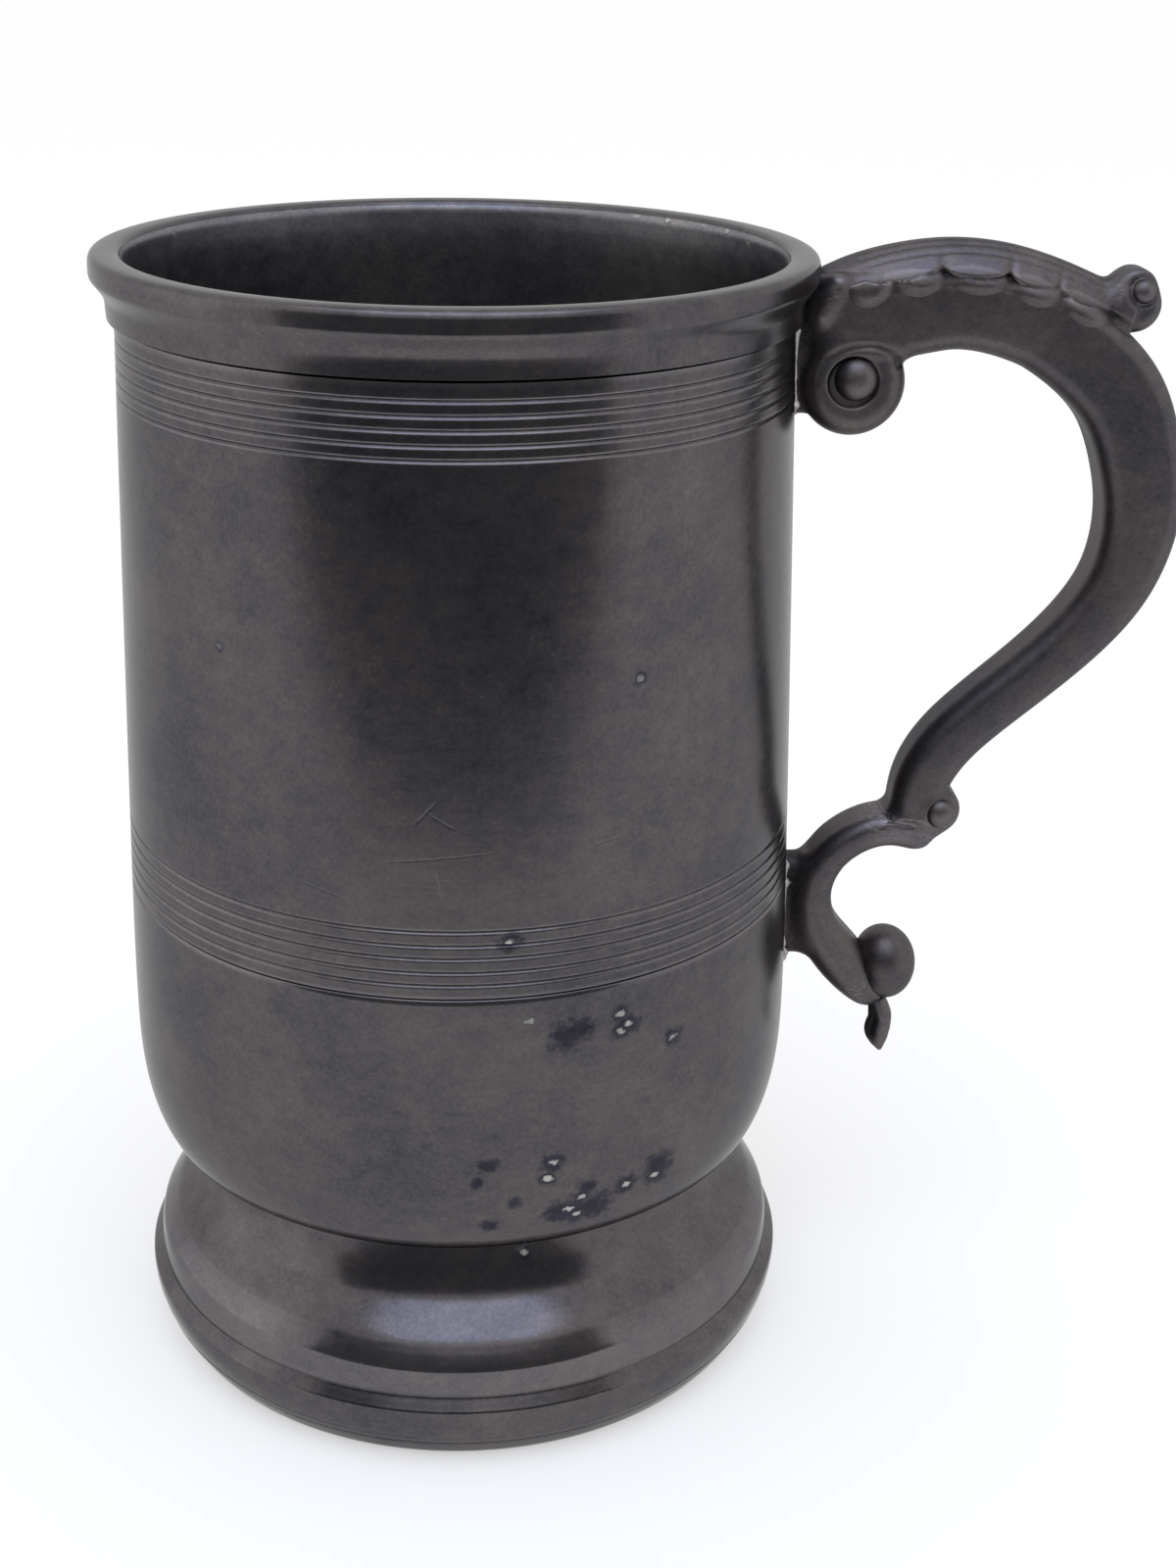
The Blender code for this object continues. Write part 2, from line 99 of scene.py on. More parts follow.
def ease(low: float, high: float, value: Array) -> Array:
    """Rise smoothly from 0 at low to 1 at high, as 3t² - 2t³.

    Args:
        low: Where the rise starts; it may lie above high.
        high: Where the rise ends.
        value: The numbers to place.

    Returns:
        Numbers from 0 to 1.
    """
    t = np.clip((value - low) / (high - low), 0.0, 1.0)
    return t * t * (3.0 - 2.0 * t)


def hill(value: Array, middle: Union[float, Array], width: float) -> Array:
    """Give a bell curve, exp(-((value - middle) / width)²)."""
    return np.exp(-((value - middle) / width) ** 2)


def smooth_min(a: Array, b: Array, reach: float) -> Array:
    """Join two distance fields with a fillet: min(a, b) lowered by h² reach / 4, h fading over reach.

    Args:
        a: Distances to the first solid.
        b: Distances to the second solid.
        reach: How far the fillet reaches.

    Returns:
        Distances to the joined solid.
    """
    h = np.maximum(reach - np.abs(a - b), 0.0) / reach
    return np.minimum(a, b) - h * h * reach * 0.25


def smooth_max(a: Array, b: Array, reach: float) -> Array:
    """Cut one distance field with another and round the edge, as smooth_min turned inside out."""
    return -smooth_min(-a, -b, reach)


def spline(points: Sequence[Sequence[float]], per_span: int) -> Array:
    """Carry a smooth cubic curve through points; its slope at each is half the step between its neighbours.

    Args:
        points: Rows of numbers to pass through, in order.
        per_span: Steps between one point and the next.

    Returns:
        The rows along the curve, with both ends.
    """
    p = np.asarray(points, dtype=float)
    p = np.vstack([2.0 * p[0] - p[1], p, 2.0 * p[-1] - p[-2]])
    spans = len(p) - 3
    t = np.linspace(0.0, spans, spans * per_span + 1)
    i = np.minimum(t.astype(int), spans - 1)
    u = (t - i)[:, None]
    a, b, c, d = p[i], p[i + 1], p[i + 2], p[i + 3]
    return 0.5 * (2.0 * b + (c - a) * u + (2.0 * a - 5.0 * b + 4.0 * c - d) * u ** 2
                  + (3.0 * b - a - 3.0 * c + d) * u ** 3)


def evened(rows: Array, reach: int) -> Array:
    """Take the wiggles out of a run of rows, with a running mean over reach rows each way, and keep the ends.

    Args:
        rows: The rows, evenly spaced along a curve.
        reach: How many rows each way the mean takes in, fewer towards the ends.

    Returns:
        As many rows.
    """
    total = np.vstack([np.zeros(rows.shape[1]), np.cumsum(rows, axis=0)])
    place = np.arange(len(rows))
    half = np.minimum(reach, np.minimum(place, len(rows) - 1 - place))
    return (total[place + half + 1] - total[place - half]) / (2 * half + 1)[:, None]


def grid_quads(rows: int, columns: int, wrap_rows: bool, wrap_columns: bool) -> Array:
    """Number the quads of a grid whose points are stored row by row.

    Args:
        rows: Points down the grid.
        columns: Points across it.
        wrap_rows: Whether the last row joins the first.
        wrap_columns: Whether the last column joins the first.

    Returns:
        Four point numbers for each quad.
    """
    r = np.arange(rows if wrap_rows else rows - 1)[:, None]
    c = np.arange(columns if wrap_columns else columns - 1)[None, :]
    down, across = (r + 1) % rows, (c + 1) % columns
    corners = [r * columns + c, r * columns + across, down * columns + across, down * columns + c]
    return np.stack([np.broadcast_to(k, (r.size, c.size)).ravel() for k in corners], 1)


@dataclass
class Skin:
    """A mesh in the making, in mm: its points, quads, wear with painted light and shade, and file marks with
    painted highlights by point, and finish by quad.
    """

    points: Array
    quads: Array
    worn: Array
    finish: Array
    filed: Optional[Array] = None

    def volume(self) -> float:
        """Sum the signed volume under every quad, which is positive where the quads face out."""
        a, b, c, d = (self.points[self.quads[:, k]] for k in range(4))
        return float((a * (np.cross(b, c) + np.cross(c, d))).sum())

    def neighbour_mean(self, values: Array) -> Array:
        """Average each point's values over the points that share an edge with it.

        Args:
            values: A number or a row for each point.

        Returns:
            As many numbers or rows.
        """
        start = self.quads.ravel()
        end = np.roll(self.quads, -1, axis=1).ravel()
        one, two = np.concatenate([start, end]), np.concatenate([end, start])
        count = np.maximum(np.bincount(one, minlength=len(self.points)), 1)
        table = values.reshape(len(values), -1)
        mean = [np.bincount(one, table[two, k], len(self.points)) / count for k in range(table.shape[1])]
        return np.stack(mean, 1).reshape(values.shape)


def outline_wear(outline: Array) -> Array:
    """Tell edges from hollows on a closed outline: tanh of the turning per mm, positive where it bulges.

    Args:
        outline: The outline's points, without the first one repeated.

    Returns:
        A number from -1 to 1 for each point.
    """
    ahead = np.roll(outline, -1, axis=0) - outline
    behind = np.roll(ahead, 1, axis=0)
    size_ahead, size_behind = np.hypot(*ahead.T) + 1e-9, np.hypot(*behind.T) + 1e-9
    turning = (behind[:, 0] * ahead[:, 1] - behind[:, 1] * ahead[:, 0]) / (size_ahead * size_behind)
    following = np.roll(outline, -1, axis=0)
    area = (outline[:, 0] * following[:, 1] - outline[:, 1] * following[:, 0]).sum()
    bend = np.arcsin(np.clip(turning, -1, 1)) / np.maximum(0.5 * (size_ahead + size_behind), 0.12)
    return np.tanh(0.55 * bend * np.sign(area))


def revolve(outline: Array, steps: int, finish: Optional[Array] = None, shift: Point = (0.0, 0.0)) -> Skin:
    """Turn a closed outline of (radius, height) about the cup's axis: (r cos t, r sin t, z).

    Args:
        outline: The outline's points, without the first one repeated.
        steps: Points around the turn.
        finish: A finish number for each outline point's row of quads.
        shift: How far the turned piece stands from the axis.

    Returns:
        The closed skin.
    """
    turn = np.linspace(0.0, 2.0 * math.pi, steps, endpoint=False)[None, :]
    r, z = outline[:, :1], outline[:, 1:]
    points = np.stack([r * np.cos(turn) + shift[0], r * np.sin(turn) + shift[1], z + 0.0 * turn], -1)
    rows = np.zeros(len(outline), int) if finish is None else np.asarray(finish)
    quads = grid_quads(len(outline), steps, True, True)
    return Skin(points.reshape(-1, 3), quads, np.repeat(outline_wear(outline), steps), np.repeat(rows, steps))


def sweep(path: Array, half_thick: Array, half_wide: Array, sides: int, dent: Optional[Array] = None) -> Skin:
    """Carry an ellipse along a path in the XZ plane and close it at both ends.

    Args:
        path: The path's (x, z) points.
        half_thick: The ellipse's half size in the plane, at each point.
        half_wide: Its half size along Y, at each point.
        sides: Points around the ellipse.
        dent: Factors for the ellipse's size by point and side, or None for a plain one.

    Returns:
        The closed skin, whose end rows shrink to a point.
    """
    along = np.gradient(path, axis=0)
    along /= np.hypot(*along.T)[:, None] + 1e-12
    turn = np.linspace(0.0, 2.0 * math.pi, sides, endpoint=False)[None, :]
    size = np.ones((len(path), sides)) if dent is None else dent
    lift = half_thick[:, None] * np.cos(turn) * size
    points = np.stack([path[:, :1] - along[:, 1:] * lift, half_wide[:, None] * np.sin(turn) * size,
                       path[:, 1:] + along[:, :1] * lift], -1)
    quads = grid_quads(len(path), sides, False, True)
    return Skin(points.reshape(-1, 3), quads, np.zeros(points.shape[0] * sides), np.zeros(len(quads), int))


# Cast shapes, as the zero level of a distance field

CUBE = np.array([(i, j, k) for i in (0, 1) for j in (0, 1) for k in (0, 1)])
CUBE_EDGES = np.array([(a, b) for a in range(8) for b in range(a + 1, 8)
                       if np.abs(CUBE[a] - CUBE[b]).sum() == 1])


def slope(shape: Field, points: Array, step: float) -> Tuple[Array, Array]:
    """Measure a field and its slope at points by central differences.

    Args:
        shape: The field.
        points: Where to measure, one row each.
        step: Half the distance of each difference.

    Returns:
        The field's values and its gradients.
    """
    moves = step * np.eye(3)
    gradient = [(shape(*(points + m).T) - shape(*(points - m).T)) / (2.0 * step) for m in moves]
    return shape(*points.T), np.stack(gradient, 1)


def cast(shape: Field, low: Sequence[float], high: Sequence[float], step: float) -> Skin:
    """Wrap the zero level of a field in quads.

    Every cube of a grid that the level crosses gets one point, the mean of the crossings on its edges, and
    every grid edge that it crosses gets a quad between the four cubes round it. The points are then evened
    out and drawn back onto the level, p - f grad f / |grad f|², twice.

    Args:
        shape: The field, negative inside.
        low: The box's lowest corner.
        high: Its highest corner.
        step: The grid's step.

    Returns:
        The closed skin, with wear from the skin's bulge.
    """
    axes = [np.arange(a - 2.0 * step, b + 3.0 * step, step) for a, b in zip(low, high)]
    x, y, z = np.ix_(*axes)
    value = np.broadcast_to(shape(x, y, z), tuple(len(a) for a in axes))
    inside = value < 0.0
    corners = sum(inside[i:i - 1 or None, j:j - 1 or None, k:k - 1 or None].astype(np.int8)
                  for i, j, k in CUBE)
    crossed = (corners > 0) & (corners < 8)
    cell = np.argwhere(crossed)
    corner = cell[:, None, :] + CUBE[None]
    level = value[corner[..., 0], corner[..., 1], corner[..., 2]]
    first, second = level[:, CUBE_EDGES[:, 0]], level[:, CUBE_EDGES[:, 1]]
    cut = (first < 0.0) != (second < 0.0)
    part = np.where(cut, first / np.where(cut, first - second, 1.0), 0.0)[..., None]
    where = CUBE[CUBE_EDGES[:, 0]] + part * (CUBE[CUBE_EDGES[:, 1]] - CUBE[CUBE_EDGES[:, 0]])
    centre = (where * cut[..., None]).sum(1) / cut.sum(1)[:, None]
    points = np.array([a[0] for a in axes]) + step * (cell + centre)
    number = np.full(crossed.shape, -1)
    number[crossed] = np.arange(len(cell))
    quads: List[Array] = []
    for axis in range(3):
        b, c = (axis + 1) % 3, (axis + 2) % 3
        start = np.moveaxis(inside, (axis, b, c), (0, 1, 2))
        ids = np.moveaxis(number, (axis, b, c), (0, 1, 2))
        here, there = start[:-1, 1:-1, 1:-1], start[1:, 1:-1, 1:-1]
        i, j, k = np.nonzero(here != there)
        ring = np.stack([ids[i, j, k], ids[i, j + 1, k], ids[i, j + 1, k + 1], ids[i, j, k + 1]], 1)
        quads.append(np.where(here[i, j, k][:, None], ring, ring[:, ::-1]))
    skin = Skin(points, np.vstack(quads), np.zeros(len(points)), np.zeros(sum(len(q) for q in quads), int))
    for _ in range(2):
        skin.points = 0.5 * (skin.points + skin.neighbour_mean(skin.points))
        depth, out = slope(shape, skin.points, 0.2 * step)
        move = depth / np.maximum((out * out).sum(1), 0.2)
        skin.points -= np.clip(move, -step, step)[:, None] * out
    depth, out = slope(shape, skin.points, 0.5 * step)
    out /= np.linalg.norm(out, axis=1)[:, None] + 1e-9
    sunk = skin.points - skin.neighbour_mean(skin.points)
    bulge = np.einsum("ij,ij->i", sunk, out) / (step * step)
    for _ in range(3):
        bulge = 0.5 * (bulge + skin.neighbour_mean(bulge))
    skin.worn = np.tanh(1.6 * bulge)
    return skin


def round_box(a: Array, b: Array, half_a: Array, half_b: Array, corner: Union[float, Array]) -> Array:
    """Give the distance to a rectangle with rounded corners.

    Args:
        a: Offsets along the first side.
        b: Offsets along the second side.
        half_a: Half the first side.
        half_b: Half the second side.
        corner: The corners' radius.

    Returns:
        Distances, negative inside.
    """
    p, q = np.abs(a) - half_a + corner, np.abs(b) - half_b + corner
    return np.hypot(np.maximum(p, 0.0), np.maximum(q, 0.0)) + np.minimum(np.maximum(p, q), 0.0) - corner


def rods(x: Array, y: Array, z: Array, start: Point, end: Point, out: float, radius: float) -> Array:
    """Give the distance to a pair of round-ended rods, one on each side of the handle's middle plane.

    Args:
        x: The points' X.
        y: The points' Y.
        z: The points' Z.
        start: A rod's first end, as X and Z.
        end: Its other end.
        out: How far the rods stand from the middle plane.
        radius: Their radius.

    Returns:
        Distances, negative inside.
    """
    way_x, way_z = end[0] - start[0], end[1] - start[1]
    part = np.clip(((x - start[0]) * way_x + (z - start[1]) * way_z) / (way_x ** 2 + way_z ** 2), 0.0, 1.0)
    aside = (x - start[0] - part * way_x) ** 2 + (z - start[1] - part * way_z) ** 2
    return np.sqrt(aside + (np.abs(y) - out) ** 2) - radius


@dataclass
class Near:
    """What a centre line says near it: the run along it, offset, overrun and half the section's sides."""

    run: Array
    offset: Array
    over: Array
    half_thick: Array
    half_wide: Array


class CentreLine:
    """A smooth line in the handle's XZ plane that carries a thickness and a width."""

    STEPS_PER_SPAN: ClassVar[int] = 40
    CHUNK: ClassVar[int] = 8192

    def __init__(self, stations: Sequence[Station]) -> None:
        """Draw the line through stations of x, z, thickness and width.

        Args:
            stations: The places to pass through, in order.
        """
        row = evened(spline(stations, self.STEPS_PER_SPAN), self.STEPS_PER_SPAN // 2)
        self.point, self.thick, self.wide = row[:, :2], row[:, 2], row[:, 3]
        along = np.gradient(self.point, axis=0)
        self.along = along / np.hypot(*along.T)[:, None]
        gap = np.hypot(*np.diff(self.point, axis=0).T)
        self.run = np.concatenate([[0.0], np.cumsum(gap)])

    def nearest(self, x: Array, z: Array) -> Array:
        """Number the line's step that is nearest to each point.

        Args:
            x: The points' X, in one row.
            z: The points' Z, as many.

        Returns:
            A step's number for each point.
        """
        found = [((x[k:k + self.CHUNK, None] - self.point[:, 0]) ** 2
                  + (z[k:k + self.CHUNK, None] - self.point[:, 1]) ** 2).argmin(1)
                 for k in range(0, len(x), self.CHUNK)]
        return np.concatenate(found)

    def near(self, x: Array, z: Array) -> Near:
        """Follow the line to the place nearest to each point.

        Args:
            x: The points' X.
            z: The points' Z, of a shape that goes with x.

        Returns:
            What the line says there; the offset is positive to the left of the line's way.
        """
        wide_x, wide_z = np.broadcast_arrays(x, z)
        flat_x, flat_z = wide_x.ravel(), wide_z.ravel()
        i = self.nearest(flat_x, flat_z)
        to_x, to_z = flat_x - self.point[i, 0], flat_z - self.point[i, 1]
        ahead = to_x * self.along[i, 0] + to_z * self.along[i, 1]
        offset = to_z * self.along[i, 0] - to_x * self.along[i, 1]
        over = np.where(i == len(self.run) - 1, ahead, np.where(i == 0, -ahead, -1.0e3))
        run = np.clip(self.run[i] + ahead, 0.0, self.run[-1])
        halves = [0.5 * np.interp(run, self.run, size) for size in (self.thick, self.wide)]
        return Near(*(r.reshape(wide_x.shape) for r in (run, offset, over, *halves)))

    def run_at(self, x: Array) -> Array:
        """Give the run along the line where it passes X, for a line that goes steadily to +X."""
        return np.interp(x, self.point[:, 0], self.run)


# Shader maths

Value = Union["Wire", float, Sequence[float]]


class Wire:
    """A node's output that takes part in Python arithmetic."""

    def __init__(self, shop: "Paint", socket: Any) -> None:
        """Hold a socket and the paint that it belongs to."""
        self.shop, self.socket = shop, socket

    def __add__(self, other: Value) -> "Wire":
        """Add."""
        return self.shop.maths("ADD", self, other)

    __radd__ = __add__

    def __sub__(self, other: Value) -> "Wire":
        """Subtract."""
        return self.shop.maths("SUBTRACT", self, other)

    def __rsub__(self, other: Value) -> "Wire":
        """Subtract from a number."""
        return self.shop.maths("SUBTRACT", other, self)

    def __mul__(self, other: Value) -> "Wire":
        """Multiply."""
        return self.shop.maths("MULTIPLY", self, other)

    __rmul__ = __mul__

    def __truediv__(self, other: Value) -> "Wire":
        """Divide."""
        return self.shop.maths("DIVIDE", self, other)

    def __neg__(self) -> "Wire":
        """Change the sign."""
        return self.shop.maths("MULTIPLY", self, -1.0)

    def atop(self, other: Value) -> "Wire":
        """Take the larger of two values."""
        return self.shop.maths("MAXIMUM", self, other)

    def below(self, other: Value) -> "Wire":
        """Take the smaller of two values."""
        return self.shop.maths("MINIMUM", self, other)

    def beside(self, out: str) -> "Wire":
        """Give another output of the same node."""
        return Wire(self.shop, self.socket.node.outputs[out])


class Paint:
    """One node material with a Principled shader, written as expressions."""

    def __init__(self, name: str) -> None:
        """Start a material with the shader and its output only.

        Args:
            name: The material's name.
        """
        self.material = bpy.data.materials.new(name)
        self.material.use_nodes = True
        self.tree = self.material.node_tree
        self.tree.nodes.clear()
        self.output = self.tree.nodes.new("ShaderNodeOutputMaterial")
        self.shader = self.tree.nodes.new("ShaderNodeBsdfPrincipled")
        self.tree.links.new(self.shader.outputs[0], self.output.inputs[0])

    def plug(self, socket: Any, value: Value) -> None:
        """Link a wire to a socket, or set the socket's own value.

        Args:
            socket: The socket to feed.
            value: A wire, a number, or the numbers of a colour or a vector.
        """
        if isinstance(value, Wire):
            self.tree.links.new(value.socket, socket)
        elif isinstance(value, (int, float)):
            socket.default_value = value
        else:
            size = len(socket.default_value)
            socket.default_value = (tuple(value) + (1.0,))[:size]

    def node(self, kind: str, settings: Optional[Mapping[str, Any]] = None,
             sockets: Optional[Mapping[Union[str, int], Value]] = None, out: Union[str, int] = 0) -> Wire:
        """Add a node.

        Args:
            kind: The node's type.
            settings: Its properties, set first; "stops" holds a ramp's positions and colours.
            sockets: Values or wires for its inputs.
            out: The output to give back.

        Returns:
            The wire from that output.
        """
        made = self.tree.nodes.new(kind)
        for key, value in (settings or {}).items():
            if key == "stops":
                while len(made.color_ramp.elements) < len(value):
                    made.color_ramp.elements.new(1.0)
                for element, (place, colour) in zip(made.color_ramp.elements, value):
                    element.position = place
                    element.color = tuple(colour) + (1.0,)
            else:
                setattr(made, key, value)
        for key, value in (sockets or {}).items():
            self.plug(made.inputs[key], value)
        return Wire(self, made.outputs[out])

    def maths(self, operation: str, *values: Value) -> Wire:
        """Add a Math node on one to three values."""
        return self.node("ShaderNodeMath", {"operation": operation}, dict(enumerate(values)))

    def noise(self, place: Wire, size: float, detail: float = 2.0, roughness: float = 0.5) -> Wire:
        """Give noise about zero, between about -1 and 1, whose features are size apart."""
        raw = self.node("ShaderNodeTexNoise", None, {"Vector": place, "Scale": 1.0 / size, "Detail": detail,
                                                     "Roughness": roughness})
        return (raw - 0.5) * 2.4

    def stretched(self, place: Wire, scale: Sequence[float], shift: Sequence[float] = (0, 0, 0)) -> Wire:
        """Scale and then shift a place, axis by axis."""
        return self.node("ShaderNodeMapping", None, {"Vector": place, "Scale": scale, "Location": shift})

    def rise(self, value: Value, low: float, high: float) -> Wire:
        """Rise smoothly from 0 at low to 1 at high."""
        return self.node("ShaderNodeMapRange", {"interpolation_type": "SMOOTHSTEP"},
                         {"Value": value, "From Min": low, "From Max": high})

    def mix(self, part: Value, one: Value, two: Value) -> Wire:
        """Mix two colours."""
        return self.node("ShaderNodeMix", {"data_type": "RGBA"}, {0: part, 6: one, 7: two}, 2)

    def scaled(self, colour: Value, size: Value) -> Wire:
        """Make a colour brighter or darker by a factor."""
        return self.node("ShaderNodeVectorMath", {"operation": "SCALE"}, {"Vector": colour, "Scale": size})

    def finish(self, **sockets: Value) -> bpy.types.Material:
        """Feed the Principled shader, with underscores for the spaces of its sockets' names.

        Args:
            sockets: Values or wires by socket.

        Returns:
            The finished material.
        """
        for key, value in sockets.items():
            self.plug(self.shader.inputs[key.replace("_", " ")], value)
        return self.material


# Finishes

@dataclass(frozen=True)
class Pit:
    """A corroded spot: its bearing on the cup in degrees, height, size, and how bright its middle is."""

    bearing: float
    height: float
    size: float
    bright: float


@dataclass(frozen=True)
class Scratch:
    """A scratch on the cup: its ends as bearing and height, and its width in mm."""

    start: Point
    end: Point
    width: float


@dataclass(frozen=True)
class Pewter:
    """A dull pewter: its tints, how far its patina wanders, and the tool lines and marks on it."""

    SKIN_RADIUS: ClassVar[float] = 43.0
    STAIN: ClassVar[Triple] = (0.026, 0.024, 0.040)
    BARE: ClassVar[Triple] = (0.46, 0.46, 0.44)
    DARKEST: ClassVar[float] = 0.08
    SMOOTHEST: ClassVar[float] = 0.12
    # How far apart the features of its noises are, in mm
    BROAD_SIZE: ClassVar[float] = 19.0
    BLOTCH_SIZE: ClassVar[float] = 2.6
    SPECK_SIZE: ClassVar[float] = 0.5
    RING_SIZE: ClassVar[float] = 0.8
    STROKE_SIZE: ClassVar[float] = 0.5
    FRAY_SIZE: ClassVar[float] = 1.1

    name: str
    cool: Triple
    warm: Triple
    roughness: float
    edge_tint: float = 0.70
    mottle: float = 0.28
    grain: float = 0.3
    turning: float = 0.0
    turning_depth: float = 0.0
    dirt_and_shade: float = 0.5
    rub_and_highlight: float = 0.3
    lumps: float = 0.004
    pits: Tuple[Pit, ...] = ()
    scratches: Tuple[Scratch, ...] = ()

    def material(self) -> bpy.types.Material:
        """Paint the finish.

        Colour is a cool and a warm grey mixed by broad noise, made lighter and darker by blotches, grain,
        turning rings, wear, file marks and the painted highlights, reflections and shade carried with them;
        height sums lumps, rings, pits and scratches in mm.

        Returns:
            The material.
        """
        paint = Paint(self.name)
        place = paint.node("ShaderNodeTexCoord", out="Object")
        spot = paint.stretched(place, (1.0 / METRE,) * 3, (-AXIS_X / METRE, 0.0, 0.0))
        worn = paint.node("ShaderNodeAttribute", {"attribute_name": "worn"}, out="Fac")
        broad = paint.noise(spot, self.BROAD_SIZE, 2.0)
        moved = paint.stretched(spot, (1.0, 1.0, 1.2), (7.0, 3.0, 1.0))
        blotch = paint.noise(moved, self.BLOTCH_SIZE, 5.0, 0.62)
        speck = paint.noise(spot, self.SPECK_SIZE, 2.0, 0.6)
        rings = paint.noise(paint.stretched(spot, (0.03, 0.03, 1.0)), self.RING_SIZE, 4.0, 0.65)
        # The wear attribute lightens where positive, for rubbed edges and painted highlights and reflections,
        # and darkens where negative, for dirt in hollows and painted shade.
        edge = worn.atop(0.0)
        hollow = (-worn).atop(0.0)
        # File marks, and painted highlights laid on the same way.
        filed = paint.node("ShaderNodeAttribute", {"attribute_name": "filed"}, out="Fac")
        along = paint.stretched(spot, (0.5, 1.0, 2.6), (2.0, 5.0, 8.0))
        strokes = paint.noise(along, self.STROKE_SIZE, 3.0, 0.6)
        bright = filed * paint.rise(strokes, -0.1, 0.7)
        tone = (1.0 + self.mottle * blotch + 1.3 * self.mottle * broad + self.grain * speck
                + self.turning * rings + self.rub_and_highlight * edge - self.dirt_and_shade * hollow + 2.2 * bright)
        rough = (self.roughness + 0.15 * self.mottle * blotch + 0.08 * self.grain * speck
                 - 0.05 * edge + 0.1 * hollow)
        height = (self.lumps * blotch + 0.2 * self.lumps * speck + self.turning_depth * rings
                  - 0.02 * bright)
        warmth = paint.rise(broad + 0.9 * blotch, -0.8, 0.8)
        colour = paint.mix(warmth, self.cool, self.warm)
        if self.pits or self.scratches:
            moved = paint.stretched(spot, (1.0, 1.0, 1.0), (3.0, 1.0, 4.0))
            frayed = paint.noise(moved, self.FRAY_SIZE, 3.0, 0.6)
            stain, bare, line = self.marks(paint, spot, frayed, speck)
            colour = paint.mix(bare, paint.mix(0.8 * stain, colour, self.STAIN), self.BARE)
            tone = tone + 0.25 * line
            rough = rough + 0.1 * stain
            height = height - 0.03 * stain + 0.03 * bare - 0.015 * line
        bump = paint.node("ShaderNodeBump", None, {"Strength": 1.0, "Distance": METRE, "Height": height})
        return paint.finish(Base_Color=paint.scaled(colour, tone.atop(self.DARKEST)), Metallic=1.0,
                            Roughness=rough.atop(self.SMOOTHEST), Normal=bump,
                            Specular_Tint=(self.edge_tint,) * 3)

    def marks(self, paint: Paint, spot: Wire, frayed: Wire, speck: Wire) -> Tuple[Wire, Wire, Wire]:
        """Lay pits and scratches out on the cup's skin, unrolled as (bearing times radius, height).

        Args:
            paint: The material in the making.
            spot: The place in mm about the cup's axis.
            frayed: Noise that makes the stains' edges uneven.
            speck: Finer noise that breaks up the bright middles.

        Returns:
            Masks for the pits' dark stains, their bare bright middles and the scratches.
        """
        x = paint.node("ShaderNodeSeparateXYZ", None, {0: spot}, "X")
        bearing = paint.maths("ARCTAN2", x.beside("Y"), x)
        height = x.beside("Z")
        across = bearing * self.SKIN_RADIUS
        stain: Value = 0.0
        bare: Value = 0.0
        line: Value = 0.0
        for pit in self.pits:
            du = (across - math.radians(pit.bearing) * self.SKIN_RADIUS) / pit.size
            dv = (height - pit.height) / (0.85 * pit.size)
            far = paint.maths("SQRT", du * du + dv * dv) + 0.8 * frayed
            stain = paint.maths("MAXIMUM", 1.0 - paint.rise(far, 0.4, 1.3), stain)
            if pit.bright > 0.0:
                middle = paint.maths("SQRT", (du * du + 2.0 * dv * dv) * pit.size ** 2)
                near = middle + 0.7 * frayed + 0.5 * speck
                bare = paint.maths("MAXIMUM", (1.0 - paint.rise(near, 0.25, 0.75)) * pit.bright, bare)
        for mark in self.scratches:
            ends = [(math.radians(b) * self.SKIN_RADIUS, h) for b, h in (mark.start, mark.end)]
            run = math.hypot(ends[1][0] - ends[0][0], ends[1][1] - ends[0][1])
            way = ((ends[1][0] - ends[0][0]) / run, (ends[1][1] - ends[0][1]) / run)
            du, dv = across - ends[0][0], height - ends[0][1]
            along = du * way[0] + dv * way[1]
            aside = paint.maths("ABSOLUTE", dv * way[0] - du * way[1] + 0.1 * frayed)
            faded = paint.rise(along, 0.0, 0.3 * run) * (1.0 - paint.rise(along, 0.6 * run, run))
            narrow = 1.0 - paint.rise(aside, 0.3 * mark.width, mark.width)
            line = paint.maths("MAXIMUM", faded * narrow, line)
        return tuple(v if isinstance(v, Wire) else paint.maths("ADD", v, 0.0) for v in (stain, bare, line))


CUP_PITS = tuple(Pit(*row) for row in (
    (-83.1, 73.9, 1.4, 0.9), (-61.6, 103.6, 1.0, 0.4), (-79.9, 63.6, 0.6, 0.6), (-73.6, 61.1, 2.6, 0.0),
    (-71.9, 61.7, 2.0, 0.0), (-64.9, 62.6, 1.2, 0.7), (-63.6, 60.9, 1.9, 0.9), (-64.9, 60.2, 1.3, 0.7),
    (-54.7, 57.3, 1.5, 0.6), (-76.1, 44.2, 1.8, 1.0), (-77.0, 41.9, 1.3, 0.9), (-56.9, 39.4, 2.6, 0.0),
    (-57.2, 38.2, 2.0, 0.9), (-62.9, 38.3, 1.8, 1.0), (-71.1, 38.2, 1.4, 0.8), (-72.9, 36.6, 2.0, 1.0),
    (-71.6, 35.6, 2.0, 0.9), (-74.6, 36.4, 2.2, 0.0), (-68.6, 36.4, 2.7, 0.0), (-69.9, 39.6, 1.5, 0.0),
    (-86.6, 44.6, 1.3, 0.0), (-88.2, 42.2, 0.9, 0.0), (-82.1, 38.8, 1.1, 0.0), (-86.2, 35.6, 1.4, 0.0),
    (-77.4, 24.9, 1.2, 1.0), (-130.3, 105.9, 0.8, 0.2),
))
RIM_NICKS = tuple(Pit(*row) for row in (
    (53.0, 144.6, 0.6, 0.7), (45.5, 144.5, 0.7, 0.8), (36.0, 144.6, 0.6, 0.7), (29.0, 144.4, 0.7, 0.8),
    (21.0, 143.6, 0.5, 0.7), (155.0, 143.9, 0.5, 0.7),
))
